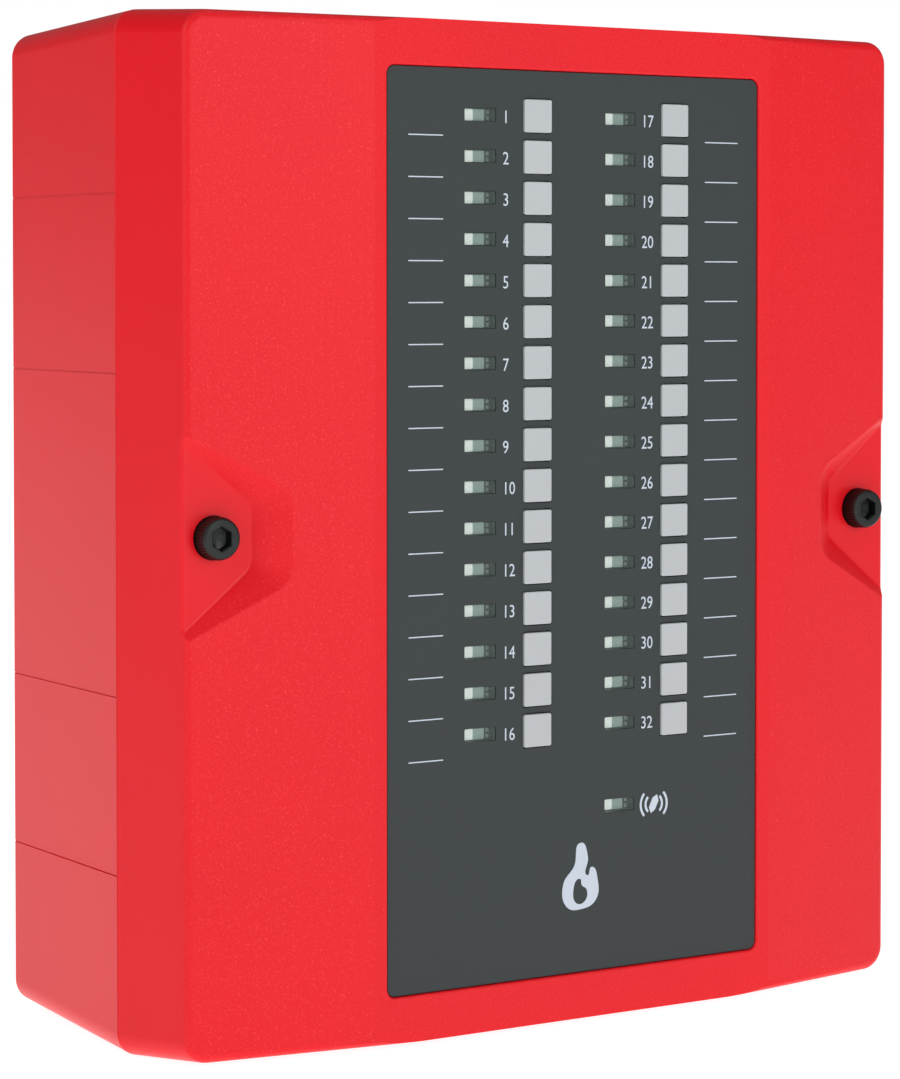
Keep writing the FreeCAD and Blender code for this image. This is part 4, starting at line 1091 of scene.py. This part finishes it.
class MakeScrews(bpy.types.Operator):
    """Make the ribbed cover screws, their washers and the brass inserts"""

    bl_idname = "alarm_panel.make_screws"
    bl_label = "Cover screws"

    head_height = 6.0
    head_radius = 4.85
    socket = 2.5
    core_radius = 2.55
    thread_radius = 2.95
    neck = 7.5

    def thread(self, bench, x, z, start, end, pitch):
        """A real spiral ridge round the shank."""
        steps = 20
        count = int((end - start) / pitch * steps)
        loops = []
        for step in range(count + 1):
            angle = 2 * math.pi * step / steps
            depth = start + pitch * step / steps
            rise = min(1.0, step / steps, (count - step) / steps)
            peak = self.core_radius + (self.thread_radius - self.core_radius) * rise
            root = self.core_radius - 0.15
            section = [(root, -0.42), (peak, -0.06), (peak, 0.06), (root, 0.42)]
            loop = []
            for radius, along in section:
                place = (x + radius * math.cos(angle), depth + along * pitch, z + radius * math.sin(angle))
                loop.append(bench.shape.verts.new(place))
            loops.append(loop)
        faces = [bench.shape.faces.new(loops[0]), bench.shape.faces.new(loops[-1])]
        for first, second in zip(loops, loops[1:]):
            for corner in range(4):
                following = (corner + 1) % 4
                faces.append(bench.shape.faces.new(
                    [first[corner], first[following], second[following], second[corner]]))
        bmesh.ops.recalc_face_normals(bench.shape, faces=faces)
        bench.dress(faces, "oxide")

    def screw(self, side, looks):
        node = "cover_screw_" + side
        low, high = span(node)
        x, z = (low.x + high.x) / 2, (low.z + high.z) / 2
        front = low.y
        seat = front + self.head_height
        bench = Bench()
        head = self.head_radius
        profile = [
            (0, front + 3.7), (self.socket, front + 3.0, 6), (self.socket, front + 0.30, 6),
            (self.socket + 0.28, front, 6), (head - 0.65, front), (head - 0.35, front + 0.08),
            (head - 0.08, front + 0.36), (head, front + 0.62), (head, seat - 0.2), (head - 0.2, seat),
            (self.thread_radius, seat), (self.thread_radius, seat + self.neck),
            (self.core_radius, seat + self.neck + 0.4), (self.core_radius, high.y - 0.6),
            (self.core_radius - 0.5, high.y), (0, high.y)]
        bench.turned((x, 0, z), profile, "oxide", 60)
        self.thread(bench, x, z, seat + self.neck + 0.6, high.y - 0.7, looks.pitch / MM)
        rib = Bench()
        reach = looks.rib_height / MM
        ends = (front + 0.75, seat - 0.35)
        half = math.pi * head / looks.ribs * 0.62
        corners = []
        for depth, lift in ((ends[0], 0.0), (ends[0] + 0.3, reach), (ends[1] - 0.3, reach), (ends[1], 0.0)):
            for across, out in ((-half, -0.1), (-half * 0.35, lift), (half * 0.35, lift), (half, -0.1)):
                corners.append(rib.shape.verts.new((head + out, depth, across)))
        faces = []
        for strip in range(3):
            for step in range(4):
                first = strip * 4 + step
                second = strip * 4 + (step + 1) % 4
                faces.append(rib.shape.faces.new(
                    [corners[first], corners[second], corners[second + 4], corners[first + 4]]))
        faces.append(rib.shape.faces.new(corners[:4]))
        faces.append(rib.shape.faces.new(corners[-4:]))
        bmesh.ops.recalc_face_normals(rib.shape, faces=faces)
        ring_of(rib, "oxide", (x, 0, z), looks.ribs, bench)
        bench.piece("ribbed_cover_screw_" + side, "screw_" + side, [node])

    def washer(self, side):
        node = "captive_washer_" + side
        low, high = span(node)
        outer = (high.x - low.x) / 2
        bench = Bench()
        edge = 0.12
        hole = 3.05
        profile = [
            (hole, low.y + edge), (hole + edge, low.y), (outer - edge, low.y), (outer, low.y + edge),
            (outer, high.y - edge), (outer - edge, high.y), (hole + edge, high.y), (hole, high.y - edge)]
        bench.turned((middle(node).x, 0, middle(node).z), profile, "zinc", 40, ring=True)
        bench.piece("plated_washer_" + side, "washer_" + side, [node])

    def execute(self, context):
        looks = context.scene.alarm_screws
        for side in ("left", "right"):
            self.screw(side, looks)
            self.washer(side)
        finished_copy("thread_inserts", "brass_inserts", "box", "brass")
        return {"FINISHED"}


class MakeKeypad(bpy.types.Operator):
    """Make the keypad board with its switches, joints and screws"""

    bl_idname = "alarm_panel.make_keypad"
    bl_label = "Keypad board"

    leg_spread = (2.25, 3.25)
    joint_radius = 0.75

    def execute(self, context):
        finished_copy("keypad_board", "keypad_circuit_board", "cover", "mask")
        finished_copy("keypad_screws", "keypad_pan_screws", "cover", "zinc")
        switches = Bench()
        switches.take(welded("tact_switches"), "black", 1 / MM)
        joints = Bench()
        pitch = middle(KEYS[ROWS]).x - middle(KEYS[0]).x
        for x in (-self.leg_spread[1], self.leg_spread[1]):
            for z in (-self.leg_spread[0], self.leg_spread[0]):
                dome = Bench()
                radius = self.joint_radius
                profile = [
                    (0, -0.1), (radius, -0.1), (radius, 0.08), (radius * 0.7, 0.35), (0.3, 0.7), (0, 0.75)]
                dome.turned((0, 0, 0), profile, "tin", 10)
                first = (middle(KEYS[0]).x + x, KEYPAD_BACK, TOP_ROW_Z + z)
                rows_of(dome, "tin", first, 2, ROWS, pitch, ROW_PITCH, joints)
        switches.piece("push_switches", "cover", ["tact_switches"])
        joints.piece("solder_joints", "cover")
        return {"FINISHED"}


class MakeRibbon(bpy.types.Operator):
    """Make the flat cable and its two plugs"""

    bl_idname = "alarm_panel.make_ribbon"
    bl_label = "Flat cable"

    wires = 26
    bend = 9.0
    wire_radius = 0.45
    socket_half = 0.5
    socket_depth = 4.8
    grip_depth = 3.2
    grip_width = 3.0
    board_side = -50

    def execute(self, context):
        low, high = span("ribbon_cable")
        low_z = low.z + self.wire_radius
        high_z = high.z - self.wire_radius
        centre_y = (low.y + high.y) / 2
        bend = self.bend
        path = [(low.y, low_z)]
        path += arc_points((centre_y - bend, low_z + bend), bend, -90, 0)
        path += arc_points((centre_y + bend, high_z - bend), bend, 180, 90)
        path.append((high.y, high_z))
        curve = bpy.data.curves.new("cable path", "CURVE")
        curve.dimensions = "3D"
        spline = curve.splines.new("POLY")
        spline.points.add(len(path) - 1)
        for knot, place in zip(spline.points, path):
            knot.co = (0, place[0] * MM, place[1] * MM, 1)
        width = high.x - low.x
        pitch = (width - 2 * self.wire_radius) / (self.wires - 1)
        mesh = grown(
            wires_tree, linked("path", curve), "ribbon", Wires=self.wires, Pitch=pitch * MM,
            Radius=self.wire_radius * 1.18 * MM, First_place=Vector((low.x + self.wire_radius, 0, 0)) * MM)
        bench = Bench()
        first_wire = low.x + pitch

        def marked(wire_low, wire_high, fill):
            return "lead_red" if wire_high.x < first_wire else "ribbon"

        bench.take(mesh, None, 1 / MM, marked)
        bench.piece("flat_cable", "cover", ["ribbon_cable"], 50)
        self.plugs()
        return {"FINISHED"}

    def sockets(self, bench, low, high):
        """A plug whose back is open at every pin of the board's header."""
        floor = high.y - self.socket_depth
        half = self.socket_half
        middle_x, middle_z = (low.x + high.x) / 2, (low.z + high.z) / 2
        reach = (PIN_COUNT - 1) * PIN_PITCH / 2
        rows = (middle_z - PIN_PITCH / 2, middle_z + PIN_PITCH / 2)
        bench.box(low, (high.x, floor, high.z), "black", 0.2)
        strips = ((low.z, rows[0] - half), (rows[0] + half, rows[1] - half), (rows[1] + half, high.z))
        for bottom, top in strips:
            bench.box((low.x, floor, bottom), (high.x, high.y, top), "black", 0.05)
        for row in rows:
            for left, right in ((low.x, middle_x - reach - half), (middle_x + reach + half, high.x)):
                bench.box((left, floor, row - half), (right, high.y, row + half), "black", 0.02)
        width = PIN_PITCH / 2 - half
        wall = block_part("black", 0.02, [((-width, 0, -half), (width, high.y - floor, half))])
        first = (middle_x - reach + PIN_PITCH / 2, floor, rows[1])
        rows_of(wall, "black", first, PIN_COUNT - 1, 2, PIN_PITCH, PIN_PITCH, bench)

    def plugs(self):
        """The two plugs, each with a strain bar and a polarising rib."""
        bench = Bench()
        for low, high, _ in solids("ribbon_plugs"):
            if low.y > self.board_side:
                self.sockets(bench, low, high)
                grip = (low.y, low.y + self.grip_depth)
            else:
                bench.box(low, high, "black", 0.3)
                grip = (high.y - self.grip_depth, high.y)
            for side in (low.x, high.x):
                left = side + (0.0 if side < 0 else -self.grip_width)
                right = left + self.grip_width
                bench.box((left, grip[0], low.z - 0.5), (right, grip[1], high.z + 0.5), "black", 0.2)
            mid = (low.x + high.x) / 2
            rib_low = (mid - 2, low.y + 0.8, low.z - 0.18)
            rib_high = (mid + 2, high.y - 0.8, low.z + 0.2)
            bench.box(rib_low, rib_high, "black", 0.06)
        bench.piece("cable_plugs", "cover", ["ribbon_plugs"])


class MakeMainBoard(bpy.types.Operator):
    """Make the main board with its parts, terminals, sounder and screws"""

    bl_idname = "alarm_panel.make_main_board"
    bl_label = "Main board"

    tall = 8.0
    lead_pitch = 1.27

    def legs(self, bench, low, high):
        """Bent legs along the two long sides of a chip, and a dot at its first leg."""
        half = 0.22
        leg = block_part("tin", 0.04, [
            ((-half, -0.75, -0.95), (half, -0.55, 0.1)),
            ((-half, -0.65, -1.05), (half, -0.02, -0.85)),
            ((-half, -0.18, -1.7), (half, 0.0, -0.9))])
        mirrored = Bench()
        mirrored.shape = leg.shape.copy()
        bmesh.ops.scale(mirrored.shape, vec=(1, 1, -1), verts=mirrored.shape.verts)
        bmesh.ops.reverse_faces(mirrored.shape, faces=mirrored.shape.faces)
        count = max(int((high.x - low.x - 1) / self.lead_pitch), 2)
        start = (low.x + high.x) / 2 - (count - 1) * self.lead_pitch / 2
        rows_of(leg, "tin", (start, high.y, low.z), count, 1, self.lead_pitch, 1, bench)
        rows_of(mirrored, "tin", (start, high.y, high.z), count, 1, self.lead_pitch, 1, bench)
        dot = [(0, low.y - 0.02), (0.45, low.y - 0.02), (0.45, low.y + 0.05), (0, low.y + 0.05)]
        bench.turned((low.x + 1.2, 0, high.z - 1.2), dot, "mains", 16)

    def header(self, bench, low, high):
        """The socket's gold pins inside its shroud."""
        half = 0.32
        pin = block_part("brass", 0.12, [((-half, 0, -half), (half, 5.5, half))])
        reach = (PIN_COUNT - 1) * PIN_PITCH / 2
        start = ((low.x + high.x) / 2 - reach, low.y + 3.0, (low.z + high.z) / 2 + PIN_PITCH / 2)
        rows_of(pin, "brass", start, PIN_COUNT, 2, PIN_PITCH, PIN_PITCH, bench)

    def execute(self, context):
        looks = context.scene.alarm_boards
        finished_copy("main_board", "main_circuit_board", "box", "mask")
        bench = Bench()
        for low, high, fill in solids("board_parts"):
            size = high - low
            if fill < OPEN_FILL:
                self.header(bench, low, high)
            elif fill < ROUND_FILL:
                capacitor(bench, low, high)
            elif size.y > self.tall:
                bench.box(low, high, "relay", 0.5)
                foot = low + Vector((-0.15, size.y - 1.6, -0.15))
                bench.box(foot, high + Vector((0.15, 0, 0.15)), "relay", 0.2)
            elif size.x > 9 and size.y < 2:
                bench.box(low, high, "chip", 0.18)
                self.legs(bench, low, high)
            elif size.y > 3:
                bench.box(low, high, "tin", 0.7)
            elif size.z > size.x:
                bench.box(low, high, "ceramic", 0.15)
                for edge in (low.z, high.z - 0.7):
                    bench.box(
                        (low.x - 0.05, low.y - 0.05, edge), (high.x + 0.05, high.y, edge + 0.7), "tin", 0.08)
            else:
                bench.box(low, high, "chip", 0.25)
                self.legs(bench, low, high)
        self.shrouds(bench)
        self.small_parts(bench, looks)
        bench.piece("board_components", "box", ["board_parts"])
        self.terminals()
        self.sounder()
        finished_copy("board_screws", "board_pan_screws", "box", "zinc")
        return {"FINISHED"}

    def shrouds(self, bench):
        """The open socket for the flat cable, straight from the frame."""
        copy = bmesh.new()
        mesh = welded("board_parts")
        copy.from_mesh(mesh)
        bmesh.ops.scale(copy, vec=(1 / MM,) * 3, verts=copy.verts)
        drop = []
        for faces in islands(list(copy.faces)):
            if measured(faces)[2] >= OPEN_FILL:
                drop += faces
        bmesh.ops.delete(copy, geom=drop, context="FACES")
        copy.to_mesh(mesh)
        copy.free()
        bench.take(mesh, "black")

    def small_parts(self, bench, looks):
        """Rows of small resistors and capacitors in the free strips of the board."""
        # First place across and up, columns, rows, and the spacing across and down
        strips = (
            (-84, 66, 9, 2, 6.5, 4.6),
            (-28, 22, 6, 2, 6.0, 4.2),
            (-80, 14, 5, 1, 8.0, 4.0),
            (12, -2, 3, 3, 5.5, 4.0),
        )
        shapes = {
            "ceramic": [((-0.75, -0.75, -0.6), (0.75, 0, 0.6))],
            "tin": [((-1.15, -0.8, -0.65), (-0.7, 0, 0.65)), ((0.7, -0.8, -0.65), (1.15, 0, 0.65))],
        }
        for number, (x, z, columns, rows, across, down) in enumerate(strips):
            for finish, blocks in shapes.items():
                rows_of(
                    block_part(finish, 0.08, blocks), finish, (x, BOARD_Y, z), columns, rows, across, down,
                    bench, Share=looks.share, Seed=looks.seed + number)

    def terminals(self):
        """The plug-in terminal blocks with a slotted screw in each well."""
        bench = Bench()
        bench.take(welded("terminal_blocks"), "green", 1 / MM)
        well = 3.4
        for low, high, _ in solids("terminal_blocks"):
            size = high - low
            flat = size.x > size.z
            for way in (-5, 0, 5):
                x = (low.x + high.x) / 2 + (way if flat else 1.0)
                z = (low.z + high.z) / 2 + (-1.0 if flat else way)
                slotted_screw(bench, (x, low.y + well, z), 1.8, 1.6, 1.4, 0.22, 0.3, 0.03)
        bench.piece("wired_terminals", "box", ["terminal_blocks"])

    def sounder(self):
        low, high = span("sounder")
        centre = (low + high) / 2
        radius = (high.x - low.x) / 2
        front = low.y
        bench = Bench()
        profile = [
            (0, high.y), (radius, high.y), (radius, front + 1.2), (radius - 0.35, front + 0.35),
            (radius - 1.2, front), (3.2, front), (2.9, front + 0.3), (1.6, front + 0.3), (1.5, front + 0.5),
            (1.5, front + 2.0), (0, front + 2.0)]
        bench.turned((centre.x, 0, centre.z), profile, "black", 48)
        bench.piece("board_sounder", "box", ["sounder"])


class MakePower(bpy.types.Operator):
    """Make the power supply, the mains terminal, the battery and its leads"""

    bl_idname = "alarm_panel.make_power"
    bl_label = "Power"

    # Sizes in millimetres that tell the pieces of the power supply and of the mains terminal apart
    board_height = 60
    winding_width = 28
    winding_height = 20
    core_width = 4
    core_height = 20
    heat_sink_depth = 20
    fuse_height = 18
    terminal_width = 20

    def supply(self):
        """The power board with its wound transformer, capacitors and heat sink."""

        def finish_of(low, high, fill):
            size = high - low
            if size.z > self.board_height:
                return "mask"
            if size.x > self.winding_width and size.z > self.winding_height:
                return "tape"
            if size.x < self.core_width and size.z < self.core_height:
                return "core"
            if fill < ROUND_FILL and abs(size.x - size.z) < 0.5:
                return "sleeve"
            return "aluminium" if size.y > self.heat_sink_depth else "white"

        bench = Bench()
        bench.take(welded("power_supply"), None, 1 / MM, finish_of)
        for low, high, fill in solids("power_supply"):
            kind = finish_of(low, high, fill)
            if kind == "tape":
                for share in (0.06, 0.88):
                    depth = low.y + (high.y - low.y) * share
                    bench.box(
                        (low.x - 0.4, depth, low.z - 0.4),
                        (high.x + 0.4, depth + 1.5, high.z + 0.4), "black", 0.3)
            elif kind == "sleeve":
                capacitor(bench, low - Vector((0.08, 0.05, 0.08)), high + Vector((0.08, 0, 0.08)))
        part = block_part("ceramic", 0.2, [((-1.2, -1.4, -0.8), (1.2, 0, 0.8))])
        rows_of(part, "ceramic", (45, BOARD_Y, 2), 2, 1, 6, 4, bench)
        bench.piece("power_board", "box", ["power_supply"])

    def mains(self):
        """The mains terminal with its screws, and the fuse in its clips."""

        def finish_of(low, high, fill):
            size = high - low
            if size.z > self.fuse_height:
                return "glass"
            return "mains" if size.x > self.terminal_width else "black"

        bench = Bench()
        bench.take(welded("mains_terminal"), None, 1 / MM, finish_of)
        for low, high, fill in solids("mains_terminal"):
            kind = finish_of(low, high, fill)
            centre = (low + high) / 2
            if kind == "mains":
                for way in (-9, 0, 9):
                    place = (centre.x + way, low.y + 4.3, centre.z - 2)
                    slotted_screw(bench, place, 2.5, 2.2, 2.0, 0.3, 0.35, 0.04)
            elif kind == "glass":
                radius = (high.x - low.x) / 2 + 0.12
                cap = [(0, 0), (radius - 0.3, 0), (radius, 0.3), (radius, 4.7), (radius - 0.3, 5.0), (0, 5.0)]
                for base in (low.z - 0.05, high.z - 4.95):
                    bench.turned((centre.x, centre.y, base), cap, "tin", 28, UPRIGHT)
        bench.piece("mains_terminal_and_fuse", "box", ["mains_terminal"])

    def battery(self):
        low, high = span("battery")
        case_top = high.z - 6.5
        step = 9.0
        bench = Bench()
        bench.box(low, (high.x, high.y, case_top - step - 0.5), "battery", 1.3)
        bench.box(
            (low.x + 0.5, low.y + 0.5, low.z + 2), (high.x - 0.5, high.y - 0.5, case_top - 2), "battery", 1.0)
        bench.box((low.x, low.y, case_top - step), (high.x, high.y, case_top), "battery", 1.3)
        ribs, pitch, width, margin = 5, 13, 1.2, 12
        blocks = [((0, 0, low.z + 6), (width, 0.5, case_top - step - 6))]
        for x in (low.x + margin, high.x - margin - (ribs - 1) * pitch - width):
            rib = block_part("battery", 0.2, blocks)
            rows_of(rib, "battery", (x, low.y - 0.3, 0), ribs, 1, pitch, 1, bench)
        for tab_low, tab_high, _ in solids("battery"):
            if tab_high.x - tab_low.x < 10:
                centre = (tab_low + tab_high) / 2
                colour = "lead_red" if centre.x > 70 else "lead_black"
                bench.box(
                    (centre.x - 5, centre.y - 3.5, case_top - 1),
                    (centre.x + 5, centre.y + 3.5, case_top + 0.7), colour, 0.4)
                bench.box(tab_low, tab_high, "tin", 0.15)
        bench.piece("battery_block", "box", ["battery"])

    def leads(self):
        """A red and a black lead, each with its crimped socket on the battery's tab."""
        found = sorted(solids("battery_leads"), key=lambda solid: solid[0].x)
        for name, (low, high, _) in zip(("black", "red"), found):
            colour = "lead_" + name
            x = (low.x + high.x) / 2
            radius = 1.1
            bench = Bench()
            socket_top = low.z + 9
            near = low.y + 1.6
            bend = (high.y - radius - near) / 2
            bench.box((low.x, low.y, low.z), (high.x, low.y + 3.2, socket_top - 1.5), colour, 0.6)
            profile = [(0, 0), (2.2, 0), (2.0, 2.2), (1.3, 4.2), (0, 4.2)]
            bench.turned((x, near, socket_top - 2.2), profile, colour, 24, UPRIGHT)
            bend_z = high.z - radius - bend
            arc = arc_points((near + bend, bend_z), bend, 180, 0, 20)
            path = [(x, near, socket_top - 1)] + [(x, y, z) for y, z in arc] + [(x, near + 2 * bend, -22.0)]
            bench.tube(path, radius, colour)
            bench.piece("battery_lead_" + name, "box", ["battery_leads"])

    def execute(self, context):
        self.supply()
        self.mains()
        self.battery()
        self.leads()
        finished_copy("battery_strap", "battery_clamp", "box", "zinc")
        return {"FINISHED"}


class MakeTamper(bpy.types.Operator):
    """Make the tamper switch and its plunger"""

    bl_idname = "alarm_panel.make_tamper"
    bl_label = "Tamper switch"

    def execute(self, context):
        finished_copy("tamper_switch", "tamper_switch_body", "box", "black")
        low, high = span("tamper_plunger")
        radius = (high.x - low.x) / 2
        bench = Bench()
        profile = [
            (0, low.y), (radius * 0.5, low.y + 0.08), (radius * 0.85, low.y + 0.4), (radius, low.y + 1.0),
            (radius, high.y - 0.2), (radius - 0.2, high.y), (0, high.y)]
        bench.turned((middle("tamper_plunger").x, 0, middle("tamper_plunger").z), profile, "white", 28)
        bench.piece("tamper_button", "tamper", ["tamper_plunger"])
        return {"FINISHED"}


STEPS = (
    MakeStage, MakeCase, MakeFascia, MakeKeys, MakeWindows, MakeScrews, MakeKeypad, MakeRibbon, MakeMainBoard,
    MakePower, MakeTamper)
LOOKS = {
    "alarm_case": CaseLooks,
    "alarm_fascia": FasciaLooks,
    "alarm_screws": ScrewLooks,
    "alarm_boards": BoardLooks,
    "alarm_stage": StageLooks,
}


class AlarmPanelTools(bpy.types.Panel):
    """Lists the looks and the pieces of the alarm panel"""

    bl_idname = "VIEW3D_PT_alarm_panel"
    bl_label = "Alarm panel"
    bl_space_type = "VIEW_3D"
    bl_region_type = "UI"
    bl_category = "Alarm panel"

    def draw(self, context):
        for name, looks in LOOKS.items():
            group = getattr(context.scene, name)
            box = self.layout.box()
            for label in looks.__annotations__:
                box.prop(group, label)
        for step in STEPS:
            self.layout.operator(step.bl_idname)


def register():
    for name, looks in LOOKS.items():
        bpy.utils.register_class(looks)
        setattr(bpy.types.Scene, name, bpy.props.PointerProperty(type=looks))
    for step in STEPS:
        bpy.utils.register_class(step)
    bpy.utils.register_class(AlarmPanelTools)


def unregister():
    bpy.utils.unregister_class(AlarmPanelTools)
    for step in reversed(STEPS):
        bpy.utils.unregister_class(step)
    for name, looks in LOOKS.items():
        delattr(bpy.types.Scene, name)
        bpy.utils.unregister_class(looks)


def main():
    register()
    for step in STEPS:
        group, name = step.bl_idname.split(".")
        getattr(getattr(bpy.ops, group), name)()


if __name__ == "__main__":
    main()
